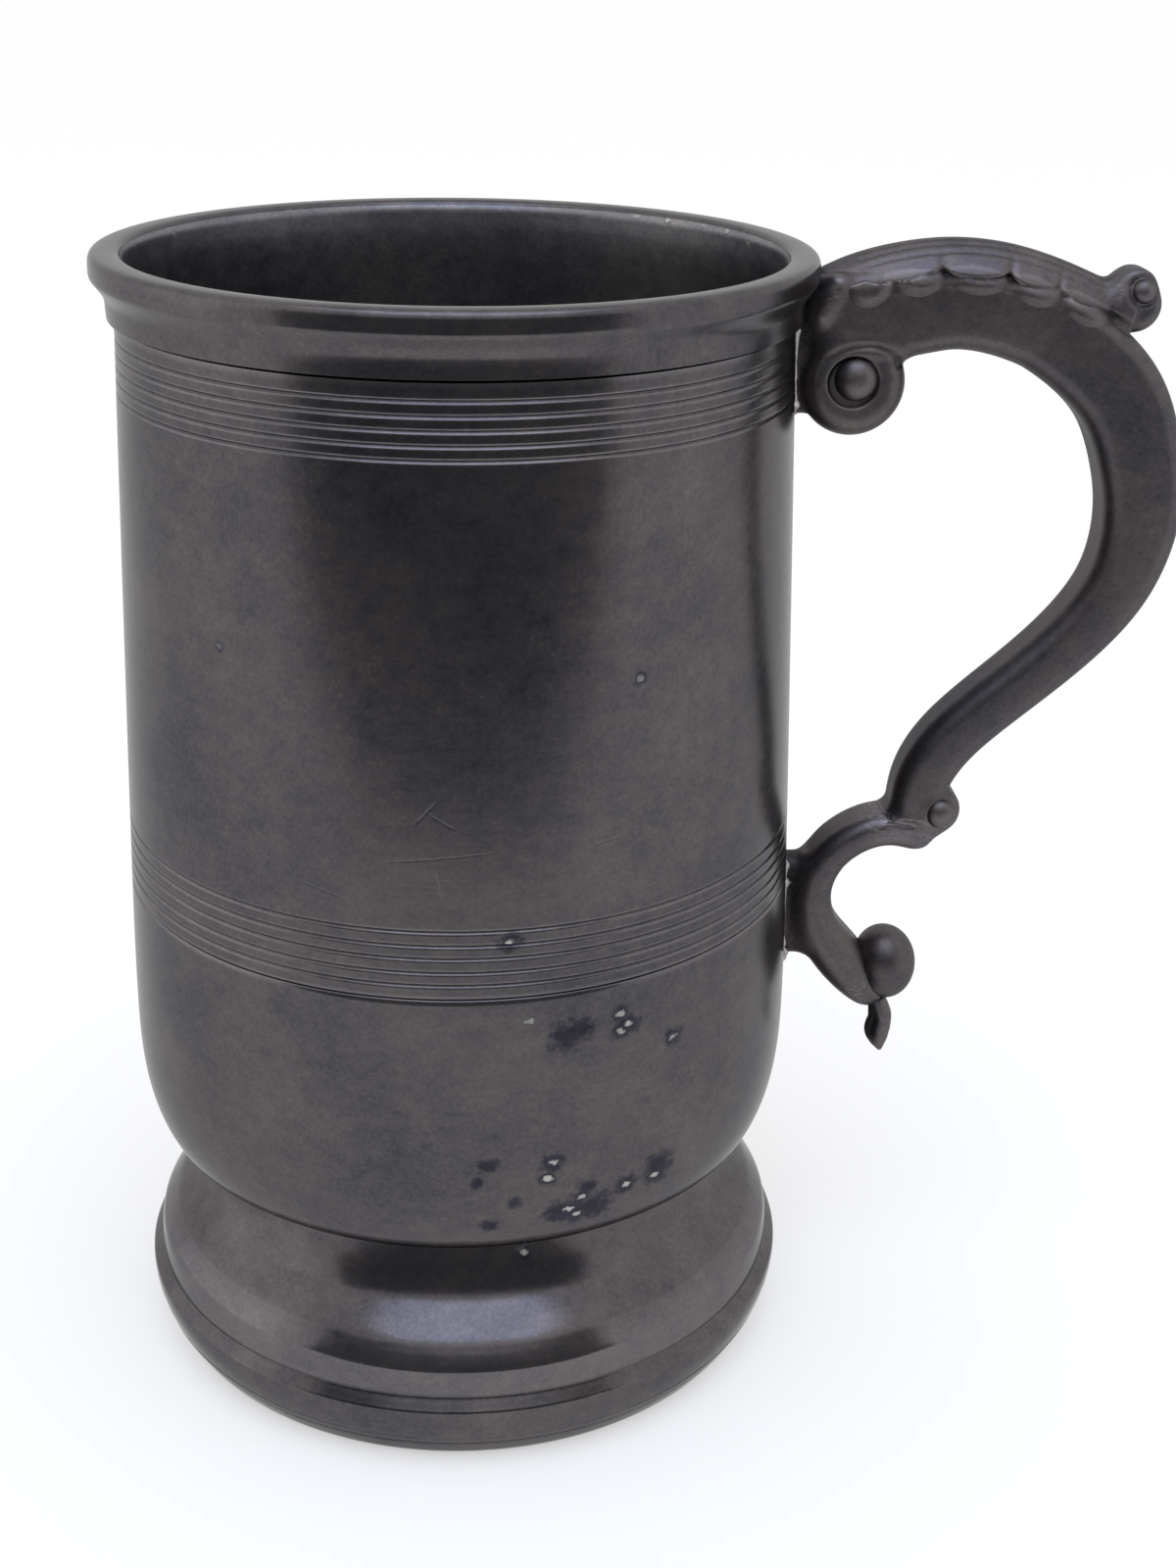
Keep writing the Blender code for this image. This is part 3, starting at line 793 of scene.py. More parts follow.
CUP_SCRATCHES = (
    Scratch((-97.9, 88.0), (-93.4, 91.6), 0.24), Scratch((-95.6, 89.8), (-90.5, 87.5), 0.2),
    Scratch((-94.2, 82.8), (-93.2, 77.8), 0.2), Scratch((-117.0, 80.3), (-106.4, 78.3), 0.2),
    Scratch((-70.7, 84.6), (-63.2, 85.4), 0.2), Scratch((-104.0, 83.5), (-83.1, 85.2), 0.16),
)

BODY_PEWTER = Pewter("body_pewter", (0.092, 0.088, 0.097), (0.097, 0.088, 0.089), 0.25, turning=0.06, rub_and_highlight=0.8,
                     dirt_and_shade=0.0, turning_depth=0.0022, pits=CUP_PITS, scratches=CUP_SCRATCHES)
FOOT_PEWTER = replace(BODY_PEWTER, name="foot_pewter", roughness=0.19)
# Painted light: a copy of the pewter about twice as light, for the inside, lifting the shade that falls in
# the cup.
LIGHTENED_INSIDE_PEWTER = Pewter("lightened_inside_pewter", (0.205, 0.206, 0.236), (0.212, 0.204, 0.202), 0.36, turning=0.06,
                       turning_depth=0.002, pits=RIM_NICKS)
HANDLE_PEWTER = Pewter("handle_pewter", (0.094, 0.089, 0.100), (0.102, 0.089, 0.087), 0.45, dirt_and_shade=0.6, rub_and_highlight=0.8,
                       lumps=0.009)
TIN_SOLDER = Pewter("tin_solder", (0.36, 0.36, 0.38), (0.38, 0.35, 0.33), 0.35, dirt_and_shade=0.3, lumps=0.03)


class Palette:
    """The finishes as materials, each painted once."""

    def __init__(self) -> None:
        """Start with nothing painted."""
        self.painted: Dict[str, bpy.types.Material] = {}

    def get(self, finish: Pewter) -> bpy.types.Material:
        """Give a finish's material, and paint it the first time.

        Args:
            finish: The finish.

        Returns:
            Its material.
        """
        if finish.name not in self.painted:
            self.painted[finish.name] = finish.material()
        return self.painted[finish.name]


def place_piece(name: str, skin: Skin, materials: Sequence[bpy.types.Material], slot: Slot,
                *nodes: str) -> None:
    """Make a piece's mesh and put it in the frame in place of its solids.

    Args:
        name: The piece's name.
        skin: Its points, quads, wear with painted light and shade, and finishes.
        materials: The materials that the finish numbers stand for.
        slot: The record's slot that it belongs to; not used.
        nodes: The solids that it replaces.
    """
    if skin.volume() < 0.0:
        skin.quads = skin.quads[:, ::-1]
    points = skin.points * METRE
    points[:, 0] += AXIS_X
    mesh = bpy.data.meshes.new(name)
    mesh.from_pydata(points.tolist(), [], skin.quads.tolist())
    for mark, values in (("worn", skin.worn), ("filed", skin.filed)):
        if values is not None:
            mesh.attributes.new(mark, "FLOAT", "POINT").data.foreach_set("value", values.astype(np.float32))
    mesh.polygons.foreach_set("material_index", skin.finish.astype(np.int32))
    for material in materials:
        mesh.materials.append(material)
    work = bmesh.new()
    work.from_mesh(mesh)
    bmesh.ops.remove_doubles(work, verts=work.verts, dist=WELD)
    work.to_mesh(mesh)
    work.free()
    mesh.validate()
    mesh.shade_smooth()
    mesh.set_sharp_from_angle(angle=SHARP_EDGE)
    piece = bpy.data.objects.new(name, mesh)
    bpy.context.scene.collection.objects.link(piece)
    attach(piece, "root")
    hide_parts(*nodes)
    log.info("%s: %d faces", name, len(mesh.polygons))


# The turned body

@dataclass
class CupBody:
    """The lip, the drum, the bowl, the floor and the foot, all turned on one axis.

    A profile or an edge is a run of (radius, height) points, from the top down on the outside.
    """

    steps: int = 224
    belly_z: float = 47.2
    belly_r: float = 43.5
    taper: float = 0.0362
    taper_ease: float = 12.0
    tuck_wide: float = 8.1
    tuck_high: float = 18.9
    tuck_power: float = 2.5
    tuck_end: float = 31.2
    painted_reflection_r: float = 36.9
    painted_reflection_z: Point = (34.0, 29.8)
    painted_reflection: float = 2.2
    shoulder_r: float = 40.2
    shoulder_rise: Point = (17.0, 14.5)
    shoulder_end: Point = (10.4, 10.7)
    wall: float = 1.45
    seam_z: float = 66.7
    seam_gap: float = 0.03
    seam_bevel: float = 0.2
    lip_seat: float = 137.6
    upper_lines: Tuple[float, ...] = (135.45, 133.85, 132.3, 130.72, 129.17)
    lower_lines: Tuple[float, ...] = (75.2, 73.45, 71.85, 70.1, 68.5)
    line_depth: float = 0.21
    line_width: float = 0.186
    line_margin: float = 1.2
    line_step: float = 0.06
    floor_z: float = 31.7
    floor_r: float = 33.9
    floor_thick: float = 1.75
    floor_ring: float = 27.0
    lean: Point = (-0.25, 0.0)
    lip_profile: Tuple[Point, ...] = (
        (39.5, 144.7), (39.7, 145.02), (40.2, 145.22), (41.0, 145.3), (42.0, 145.29), (42.62, 145.17),
        (42.97, 144.9), (43.15, 144.5), (43.22, 144.0), (43.24, 143.4), (43.23, 142.82), (43.1, 142.45),
        (42.85, 142.1), (42.45, 141.58), (42.12, 141.13), (41.91, 140.78), (41.74, 140.42), (41.64, 140.05),
        (41.57, 139.4), (41.53, 138.6), (41.5, 137.85))
    bowl_edge: Tuple[Point, ...] = (
        (40.35, 31.0), (39.3, 30.25), (37.6, 29.1), (34.6, 28.15), (31.8, 28.15), (31.8, 29.7), (34.0, 29.75))
    foot_flank: Tuple[Point, ...] = (
        (32.4, 28.05), (32.85, 26.8), (33.5, 25.0), (34.25, 23.2), (35.1, 21.6), (36.25, 20.1), (37.7, 18.8),
        (38.95, 17.76), (40.0, 16.84), (40.95, 15.76), (41.75, 14.76), (42.1, 14.27), (42.31, 13.85),
        (42.43, 13.4), (42.54, 12.7), (42.62, 12.0), (42.68, 11.2), (42.7, 10.5))
    foot_bead: Tuple[Point, ...] = (
        (42.68, 10.36), (42.69, 10.24), (42.8, 10.08), (43.2, 9.64), (43.6, 9.2), (43.87, 8.9), (43.97, 8.72),
        (44.01, 8.45), (44.02, 8.0), (43.97, 7.2), (43.86, 6.5), (43.7, 5.8), (43.5, 5.1), (43.36, 4.66),
        (43.29, 4.5))
    foot_ovolo: Tuple[Point, ...] = ((43.06, 4.34), (43.07, 4.18), (43.1, 3.96), (43.0, 3.7), (42.85, 3.4))
    foot_base: Tuple[Point, ...] = (
        (42.5, 3.2), (42.42, 3.02), (42.45, 2.75), (42.0, 1.9), (41.3, 0.8), (40.35, 0.08))
    foot_rim: Tuple[Point, ...] = ((39.6, 0.0), (38.2, 0.0), (37.5, 0.12))
    foot_hollow: Tuple[Point, ...] = (
        (37.4, 0.3), (38.3, 8.0), (36.6, 17.0), (33.2, 22.5), (31.6, 25.0), (31.4, 28.0))

    def wall_radius(self, z: Array) -> Array:
        """Give the outer radius above the belly: a taper that eases in from the belly as a hyperbola."""
        reach = np.hypot(z - self.belly_z, self.taper_ease) - self.taper_ease
        return self.belly_r - self.taper * reach

    def lines(self, z: Array, places: Sequence[float]) -> Array:
        """Give the depth of turned lines at heights, a bell-shaped groove at each place."""
        return self.line_depth * hill(z[:, None], np.array(places), self.line_width).sum(1)

    def tuck(self, inset: float, steps: int) -> Array:
        """Draw the belly's underside as a quarter of a superellipse, from the belly in to the neck.

        Args:
            inset: How far the curve lies inside the outer skin.
            steps: Points on the whole quarter, of which the last is left out.

        Returns:
            Rows of radius and height.
        """
        turn = np.linspace(0.0, 0.5 * math.pi, steps)[:-1]
        power = 2.0 / self.tuck_power
        r = self.belly_r - inset - self.tuck_wide * (1.0 - np.cos(turn) ** power)
        z = self.belly_z - (self.tuck_high - inset) * np.sin(turn) ** power
        return np.stack([r, z], 1)

    def drum(self) -> Skin:
        """Turn the drum: the tapered wall with its two bands of lines, and its plain inside.

        Returns:
            The closed skin.
        """
        bands = [np.arange(max(b) + self.line_margin, min(b) - self.line_margin, -self.line_step)
                 for b in (self.upper_lines, self.lower_lines)]
        plain = np.linspace(bands[0][-1] - 0.5, bands[1][0] + 0.5, 40)
        top_z, low_z = self.lip_seat - self.seam_bevel, self.seam_z + self.seam_bevel
        z = np.concatenate([[top_z], bands[0], plain, bands[1], [low_z]])
        outside = np.stack([self.wall_radius(z) - self.lines(z, self.upper_lines + self.lower_lines), z], 1)
        low = self.seam_z + self.seam_gap
        seam = np.array([(self.wall_radius(self.seam_z) - self.seam_bevel, low)])
        rise = np.linspace(low, self.lip_seat - 0.25, 40)
        inside = np.stack([self.wall_radius(rise) - self.wall, rise], 1)
        seat = self.wall_radius(self.lip_seat)
        top = np.array([(seat - 1.1, self.lip_seat - 0.05), (seat - 0.5, self.lip_seat - 0.1)])
        outline = np.vstack([outside, seam, inside, top])
        finish = np.repeat((0, 1, 0), (len(outside) + 1, len(inside), len(top)))
        return revolve(outline, self.steps, finish, self.lean)

    def bowl(self) -> Skin:
        """Turn the bowl: the wall below the seam, the belly, the tuck and its edge over the foot, which
        carries a painted reflection.

        Returns:
            The closed skin.
        """
        high = self.seam_z - self.seam_gap
        start = np.array([(self.wall_radius(self.seam_z) - self.seam_bevel, high)])
        down = np.linspace(self.seam_z - self.seam_bevel, self.belly_z, 30)
        wall = np.stack([self.wall_radius(down), down], 1)
        tuck = self.tuck(0.0, 60)[1:]
        tuck = tuck[tuck[:, 1] > self.tuck_end]
        inner_tuck = self.tuck(self.wall, 40)[::-1]
        inner_tuck = inner_tuck[inner_tuck[:, 1] > self.bowl_edge[0][1]]
        up = np.linspace(self.belly_z, high, 30)[1:]
        inner_wall = np.stack([self.wall_radius(up) - self.wall, up], 1)
        outline = np.vstack([start, wall, tuck, self.bowl_edge, inner_tuck, inner_wall])
        inner = 1 + len(inner_tuck) + len(inner_wall)
        skin = revolve(outline, self.steps, np.repeat((0, 1), (len(outline) - inner, inner)), self.lean)
        # Painted reflection: on the outside, the belly's lower edge over the foot is made much lighter,
        # standing in for the bright table that it mirrors and lifting the shade of the crevice under it.
        outside = np.hypot(skin.points[:, 0], skin.points[:, 1]) > self.painted_reflection_r
        painted_light = self.painted_reflection * ease(*self.painted_reflection_z, skin.points[:, 2]) * outside
        skin.worn = np.maximum(skin.worn, painted_light)
        return skin

    def lip(self) -> Skin:
        """Turn the lip: a rounded edge, a cove under it, a neck over the drum, and a bore in line with it.

        Returns:
            The closed skin.
        """
        top = spline(self.lip_profile, 6)
        bore = float(self.wall_radius(self.lip_seat)) - self.wall
        under = np.array([(40.9, 137.7), (40.1, 137.66), (bore + 0.4, self.lip_seat)])
        inside = spline([(bore, 137.36), (bore - 0.07, 139.4), (bore - 0.08, 141.4), (bore, 143.1),
                         (39.27, 144.1), self.lip_profile[0]], 6)[:-1]
        outline = np.vstack([top, under, inside])
        finish = np.repeat((0, 1), (len(top) + 2, len(inside) + 1))
        skin = revolve(outline, self.steps, finish, self.lean)
        skin.worn = 0.15 * skin.worn
        return skin

    def floor(self) -> Skin:
        """Turn the floor: a disc that dishes a little and has a turned ring near its edge.

        Returns:
            The closed skin.
        """
        r = np.linspace(0.0, self.floor_r, 60)
        dish = 0.25 * (1.0 - (r / self.floor_r) ** 2) + 0.15 * hill(r, self.floor_ring, 0.5)
        top = np.stack([r, self.floor_z - dish], 1)
        rim = np.array([(self.floor_r, self.floor_z - self.floor_thick + 0.25)])
        low = np.linspace(self.floor_r - 0.3, 0.0, 20)
        under = np.stack([low, np.full(len(low), self.floor_z - self.floor_thick)], 1)
        return revolve(np.vstack([top, rim, under]), self.steps)

    def foot(self) -> Skin:
        """Turn the foot: an ogee flank, a shoulder, a bead between two quirks, an ovolo and the base ring.

        Returns:
            The closed skin.
        """
        flank, bead = spline(self.foot_flank, 8), spline(self.foot_bead, 4)
        ovolo, base = spline(self.foot_ovolo, 6), spline(self.foot_base, 6)
        hollow = spline(self.foot_hollow, 8)
        outline = np.vstack([flank, bead, ovolo, base, self.foot_rim, hollow])
        finish = np.repeat((0, 1), (len(outline) - len(hollow), len(hollow)))
        skin = revolve(outline, self.steps, finish)
        z = skin.points[:, 2]
        # Painted reflection: outside the shoulder's radius the foot is made lighter from the bead up, most of
        # all on the shoulder, as if it mirrored a brighter floor.
        outside = np.hypot(skin.points[:, 0], skin.points[:, 1]) > self.shoulder_r
        shoulder = (0.2 + 0.3 * ease(*self.shoulder_rise, z)) * ease(*self.shoulder_end, z)
        skin.worn = 0.3 * np.clip(skin.worn, -0.5, 0.5) + shoulder * outside
        return skin

    def build(self, palette: Palette) -> None:
        """Make the turned pieces and dress them.

        Args:
            palette: The finishes' materials.
        """
        body, inside = palette.get(BODY_PEWTER), palette.get(LIGHTENED_INSIDE_PEWTER)
        place_piece("lip", self.lip(), [body, inside], Slot.BODY, "lip_ring")
        place_piece("drum_wall", self.drum(), [body, inside], Slot.BODY, "drum")
        place_piece("bowl_wall", self.bowl(), [body, inside], Slot.BODY, "bowl")
        place_piece("cup_floor", self.floor(), [inside], Slot.BODY, "floor_disc")
        place_piece("spread_foot", self.foot(), [palette.get(FOOT_PEWTER), inside], Slot.BODY, "foot")


# The handle

@dataclass(frozen=True)
class Boss:
    """A domed boss on the handle's side: its centre, radius, foot's distance from the middle, and rise."""

    centre: Point
    radius: float
    base: float
    rise: float

    def skin(self, side: int) -> Skin:
        """Turn the dome about a line along Y, r = R sin t and height = rise cos^0.9 t, on a short skirt.

        Args:
            side: -1 for the front, 1 for the back.

        Returns:
            The closed skin.
        """
        turn = np.linspace(0.0, 0.5 * math.pi, 16)
        low = self.base - 0.9
        r = np.concatenate([self.radius * np.sin(turn), [self.radius * 0.98, 0.0]])
        up = np.concatenate([self.base + self.rise * np.cos(turn) ** 0.9, [low, low]])
        spin = revolve(np.stack([r, up], 1), 48)
        p = spin.points
        spin.points = np.stack([self.centre[0] + p[:, 0], side * p[:, 2], self.centre[1] + p[:, 1]], 1)
        # Painted highlight on the dome's top and painted shade round its foot.
        spin.worn = np.clip(1.1 * (np.abs(spin.points[:, 1]) - self.base) / self.rise, 0.0, 1.0) - 0.5
        return spin


@dataclass(frozen=True)
class Disc:
    """A rounded disc across the handle: its centre, radius, half its width and its corners' radius."""

    centre: Point
    radius: float
    half: float
    corner: float

    def distance(self, x: Array, y: Array, z: Array) -> Array:
        """Give the distance to the disc."""
        far = np.hypot(x - self.centre[0], z - self.centre[1])
        return round_box(far, y, self.radius, self.half, self.corner)


@dataclass(frozen=True)
class Pad:
    """A block between a scroll and the cup: its middle, half sizes along X, Y and Z, and corners' radius."""

    middle: Point
    half: Triple
    corner: float

    def section(self, x: Array, y: Array) -> Array:
        """Give the distance to the block's level section."""
        return round_box(x - self.middle[0], y, self.half[0], self.half[1], self.corner)

    def past_end(self, z: Array) -> Array:
        """Give how far heights stand past the block's ends."""
        return np.abs(z - self.middle[1]) - self.half[2]


@dataclass
class ScrollHandle:
    """The cast handle: the large scroll with its volute and knop, the small scroll, the bud and the tip.

    A station is an X and Z of a centre line, with the section's thickness and width there. Where painted
    shade lies is the X that it reaches out to from the cup, and how far it reaches from the middle plane.
    """

    cup: CupBody
    step: float = 0.26
    corner: float = 2.3
    belly: float = 0.45
    volute: Disc = Disc((47.75, 129.55), 6.5, 4.85, 2.6)
    coil_r: float = 6.1
    coil_in: float = 1.5
    coil_depth: float = 0.3
    coil_start: float = 20.0
    eye: Boss = Boss((47.9, 130.3), 2.65, 4.3, 1.95)
    dish: Point = (47.5, 129.95)
    dish_r: Point = (3.35, 2.75)
    dish_depth: float = 0.5
    root_bead: Tuple[Point, Point] = ((43.3, 138.1), (45.2, 141.6))
    root_out: float = 3.75
    root_r: float = 1.05
    knop: Disc = Disc((62.7, 72.3), 3.3, 4.05, 2.4)
    knop_cap: Boss = Boss((63.0, 72.5), 2.05, 3.5, 1.6)
    upper_pad: Pad = Pad((41.5, 132.3), (2.7, 3.3, 6.4), 1.0)
    lower_pad: Pad = Pad((44.2, 58.1), (3.2, 2.6, 7.5), 1.6)
    bud: Point = (57.8, 48.8)
    bud_half: Triple = (4.25, 4.6, 5.25)
    bud_tilt: float = 8.0
    lip_clear: float = 2.3
    lip_clear_z: float = 142.2
    cup_gap: float = 0.06
    joint: Point = (58.0, 70.2)
    joint_filed_highlight: Point = (55.6, 70.9)
    end_filed_highlight: Point = (53.6, 46.4)
    root_highlight_at: Point = (44.2, 140.0)
    root_lean: float = 0.55
    upper_painted_shade: Point = (43.6, 3.6)
    lower_painted_shade: Point = (46.0, 2.7)
    upper_box: Tuple[Triple, Triple] = ((39.0, -5.4, 67.0), (92.0, 5.4, 145.0))
    lower_box: Tuple[Triple, Triple] = ((41.0, -4.3, 40.5), (63.5, 4.3, 73.0))
    upper_stations: Tuple[Station, ...] = (
        (40.6, 137.2, 8.6, 6.4), (44.0, 137.8, 9.3, 8.6), (47.5, 138.2, 9.8, 9.4), (52.2, 138.25, 11.8, 9.5),
        (56.0, 138.3, 10.6, 9.6), (60.0, 138.6, 9.9, 9.6), (64.5, 138.1, 9.9, 9.6), (69.0, 136.9, 10.2, 9.6),
        (73.2, 135.1, 10.8, 9.6), (81.2, 128.7, 11.0, 9.6), (84.8, 119.8, 10.5, 9.6),
        (85.85, 111.7, 9.9, 9.5), (83.7, 102.8, 8.6, 9.2), (77.7, 95.0, 7.8, 8.8), (70.5, 88.4, 7.6, 8.4),
        (64.2, 82.5, 7.6, 8.2), (60.8, 76.9, 7.4, 8.2), (59.9, 71.6, 6.8, 8.2))
    lower_stations: Tuple[Station, ...] = (
        (63.2, 68.2, 4.5, 7.4), (60.2, 69.0, 4.7, 7.7), (57.0, 69.7, 4.7, 7.8), (53.2, 68.9, 4.6, 7.8),
        (49.4, 66.2, 4.6, 7.8), (47.3, 62.2, 4.7, 7.8), (47.1, 58.2, 5.0, 7.8), (48.4, 53.9, 5.9, 7.8),
        (51.3, 50.0, 6.8, 7.6), (54.2, 46.3, 5.8, 7.0), (56.3, 43.6, 4.0, 4.8), (57.4, 42.1, 3.3, 3.8))
    tip_stations: Tuple[Station, ...] = (
        (57.0, 43.8, 2.2, 2.4), (57.6, 41.2, 3.2, 3.4), (57.7, 40.0, 3.5, 3.6), (57.45, 38.3, 3.8, 3.8),
        (57.75, 36.6, 2.8, 2.6), (58.2, 34.7, 0.4, 0.4))
    upper: CentreLine = field(init=False)
    lower: CentreLine = field(init=False)

    def __post_init__(self) -> None:
        self.step *= 1.0
        self.upper = CentreLine(self.upper_stations)
        self.lower = CentreLine(self.lower_stations)

    def off_cup(self, x: Array, y: Array, z: Array) -> Array:
        """Give how far points stand inside the cup's skin, which the handle is cut to."""
        lip = ease(self.cup.lip_seat, self.lip_clear_z, z) * self.lip_clear
        return self.cup.wall_radius(z) + lip + self.cup_gap - np.hypot(x - self.cup.lean[0], y)

    def bar(self, x: Array, y: Array, z: Array) -> Array:
        """Give the distance to the large scroll's bar: a rounded, slightly bellied section along its line.

        Args:
            x: The points' X.
            y: The points' Y.
            z: The points' Z.

        Returns:
            Distances, negative inside.
        """
        near = self.upper.near(x, z)
        belly = self.belly * (near.offset / near.half_thick) ** 2
        side = round_box(near.offset, y, near.half_thick, near.half_wide - belly, self.corner)
        return np.maximum(side, near.over)

    def lower_bar(self, x: Array, y: Array, z: Array) -> Array:
        """Give the distance to the small scroll: a round-sided section along its line, with a round nose.

        Args:
            x: The points' X.
            y: The points' Y.
            z: The points' Z.

        Returns:
            Distances, negative inside.
        """
        near = self.lower.near(x, z)
        side = round_box(near.offset, y, near.half_thick, near.half_wide, 0.86 * near.half_thick)
        over = np.maximum(near.over, np.maximum(-near.run, near.run - self.lower.run[-1]))
        return smooth_max(side, over + 0.3, 3.2)

    def upper_shape(self, x: Array, y: Array, z: Array) -> Array:
        """Give the distance to the large scroll with its volute, pad and knop, cut to the cup and its joint.

        A dish round the volute's eye and a coil that fades as it winds are sunk in both faces, and a bead
        stands at the leaf's root. A fillet runs along the joint with the small scroll.

        Args:
            x: The points' X.
            y: The points' Y.
            z: The points' Z.

        Returns:
            Distances, negative inside.
        """
        dx, dz = x - self.volute.centre[0], z - self.volute.centre[1]
        swing = np.mod(np.arctan2(dz, dx) - math.radians(self.coil_start), 2.0 * math.pi)
        coil = self.coil_r - self.coil_in * ease(0.0, 1.5, swing)
        groove = self.coil_depth * hill(np.hypot(dx, dz), coil, 0.5) * ease(3.2, 1.5, swing)
        dish = self.dish_depth * ease(*self.dish_r, np.hypot(x - self.dish[0], z - self.dish[1]))
        pad = np.maximum(self.upper_pad.section(x, y), self.upper_pad.past_end(z))
        root = rods(x, y, z, *self.root_bead, self.root_out, self.root_r)
        fillet = 0.5 + 2.0 * ease(130.5, 133.5, z)
        whole = smooth_min(self.bar(x, y, z), self.volute.distance(x, y, z), fillet)
        whole = whole + (groove + dish) * ease(2.2, 3.6, np.abs(y))
        whole = smooth_min(smooth_min(whole, pad, 0.6), root, 1.5)
        whole = smooth_min(whole, self.knop.distance(x, y, z), 0.9)
        small = self.lower_bar(x, y, z)
        whole = np.maximum(smooth_min(whole, small, 1.8), -0.05 - small)
        return np.maximum(whole, self.off_cup(x, y, z))

    def lower_shape(self, x: Array, y: Array, z: Array) -> Array:
        """Give the distance to the small scroll with the pad that is soldered to the bowl.

        Args:
            x: The points' X.
            y: The points' Y.
            z: The points' Z.

        Returns:
            Distances, negative inside.
        """
        pad = smooth_max(self.lower_pad.section(x, y), self.lower_pad.past_end(z), 3.2)
        whole = smooth_min(self.lower_bar(x, y, z), pad, 1.6)
        return np.maximum(whole, self.off_cup(x, y, z))

    def bud_skin(self) -> Skin:
        """Blow the bud: an egg that narrows a little downwards, tilted so that its top leans to the cup.

        Returns:
            The closed skin.
        """
        rows, columns = 48, 64
        u = np.linspace(0.0, math.pi, rows)[:, None]
        v = np.linspace(0.0, 2.0 * math.pi, columns, endpoint=False)[None, :]
        egg = np.sin(u) * (1.0 + 0.03 * np.cos(u))
        tilt = math.radians(self.bud_tilt)
        across, up = self.bud_half[0] * egg * np.cos(v), self.bud_half[2] * np.cos(u)
        x = self.bud[0] + across * math.cos(tilt) - up * math.sin(tilt)
        z = self.bud[1] + across * math.sin(tilt) + up * math.cos(tilt)
        points = np.stack([x, self.bud_half[1] * egg * np.sin(v), z], -1)
        quads = grid_quads(rows, columns, False, True)
        return Skin(points.reshape(-1, 3), quads, np.zeros(rows * columns), np.zeros(len(quads), int))

    def tip_skin(self) -> Skin:
        """Carry an ellipse down the hanging leaf tip, with a furrow down each face.

        Returns:
            The closed skin.
        """
        sides = 40
        row = spline(self.tip_stations, 12)
        fade = np.concatenate([[0.0, 0.55, 0.85], np.ones(len(row) - 4), [0.0]])
        turn = np.linspace(0.0, 2.0 * math.pi, sides, endpoint=False)[None, :]
        length = np.linspace(0.0, 1.0, len(row))[:, None]
        furrow = hill(turn, 1.25 * math.pi, 0.6) + hill(turn, 0.75 * math.pi, 0.6)
        sunk = furrow * np.sin(math.pi * length)
        skin = sweep(row[:, :2], 0.5 * row[:, 2] * fade, 0.5 * row[:, 3] * fade, sides, 1.0 - 0.32 * sunk)
        skin.worn = (0.3 - 0.9 * sunk).ravel()
        return skin

    def file_marks_and_highlight(self, points: Array) -> Array:
        """Say where the small scroll was filed and carries a painted highlight: beside its joint, and at its
        end under the bud.

        Args:
            points: The scroll's points.

        Returns:
            A number from 0 to 1 for each point.
        """
        x, _, z = points.T
        # File marks with a painted highlight laid over them.
        joint = hill(x, self.joint_filed_highlight[0], 2.4) * hill(z, self.joint_filed_highlight[1], 1.7)
        end = hill(x, self.end_filed_highlight[0], 1.6) * hill(z, self.end_filed_highlight[1], 2.0)
        return np.clip(1.1 * joint + 0.7 * end, 0.0, 1.0)

    def painted_light_and_shade(self, points: Array, edge: float, half: float) -> Array:
        """Say where a scroll gets painted light, along its joint, and painted shade, on what faces the cup.

        Args:
            points: The scroll's points.
            edge: The X that the painted shade reaches out to.
            half: How far it reaches from the middle plane.

        Returns:
            What to add to the scroll's wear attribute, as painted light and shade.
        """
        x, y, z = points.T
        # Painted light over the shade along the joint, and painted shade on the faces turned to the cup,
        # between handle and cup.
        painted_light = 0.8 * hill(x, self.joint[0], 4.5) * hill(z, self.joint[1], 2.2)
        return painted_light - 0.9 * ease(edge, edge - 1.2, x) * ease(half + 0.7, half, np.abs(y))

    def root_highlight(self, points: Array) -> Array:
        """Say where the bead at the leaf's root gets a painted highlight, on what stands out beside it.

        Args:
            points: The scroll's points.

        Returns:
            A number from 0 to 1 for each point.
        """
        x, y, z = points.T
        # Painted highlight along the root bead, leaning with height.
        lean = self.root_lean * (z - self.root_highlight_at[1])
        shine = hill(x - lean, self.root_highlight_at[0], 0.9) * hill(z, self.root_highlight_at[1], 2.2)
        return shine * ease(4.0, 4.7, np.abs(y))

    def build(self, palette: Palette) -> None:
        """Make the handle's pieces and dress them.

        Args:
            palette: The finishes' materials.
        """
        metal = [palette.get(HANDLE_PEWTER)]
        upper = cast(self.upper_shape, *self.upper_box, self.step)
        upper.worn = np.clip(upper.worn + self.painted_light_and_shade(upper.points, *self.upper_painted_shade), -1.0, 1.0)
        upper.filed = 0.8 * self.root_highlight(upper.points)
        place_piece("upper_scroll", upper, metal, Slot.HANDLE, "handle_upper_scroll")
        lower = cast(self.lower_shape, *self.lower_box, self.step)
        lower.worn = np.clip(lower.worn + self.painted_light_and_shade(lower.points, *self.lower_painted_shade), -1.0, 1.0)
        lower.filed = self.file_marks_and_highlight(lower.points)
        place_piece("lower_scroll", lower, metal, Slot.HANDLE, "handle_lower_scroll")
        for side, end in SIDES:
            place_piece(f"volute_eye_{end}", self.eye.skin(side), metal, Slot.HANDLE, f"volute_boss_{end}")
            place_piece(f"knop_cap_{end}", self.knop_cap.skin(side), metal, Slot.HANDLE, f"knop_boss_{end}")
        place_piece("scroll_bud", self.bud_skin(), metal, Slot.HANDLE, "bud")
        place_piece("hanging_tip", self.tip_skin(), metal, Slot.HANDLE, "leaf_tip")


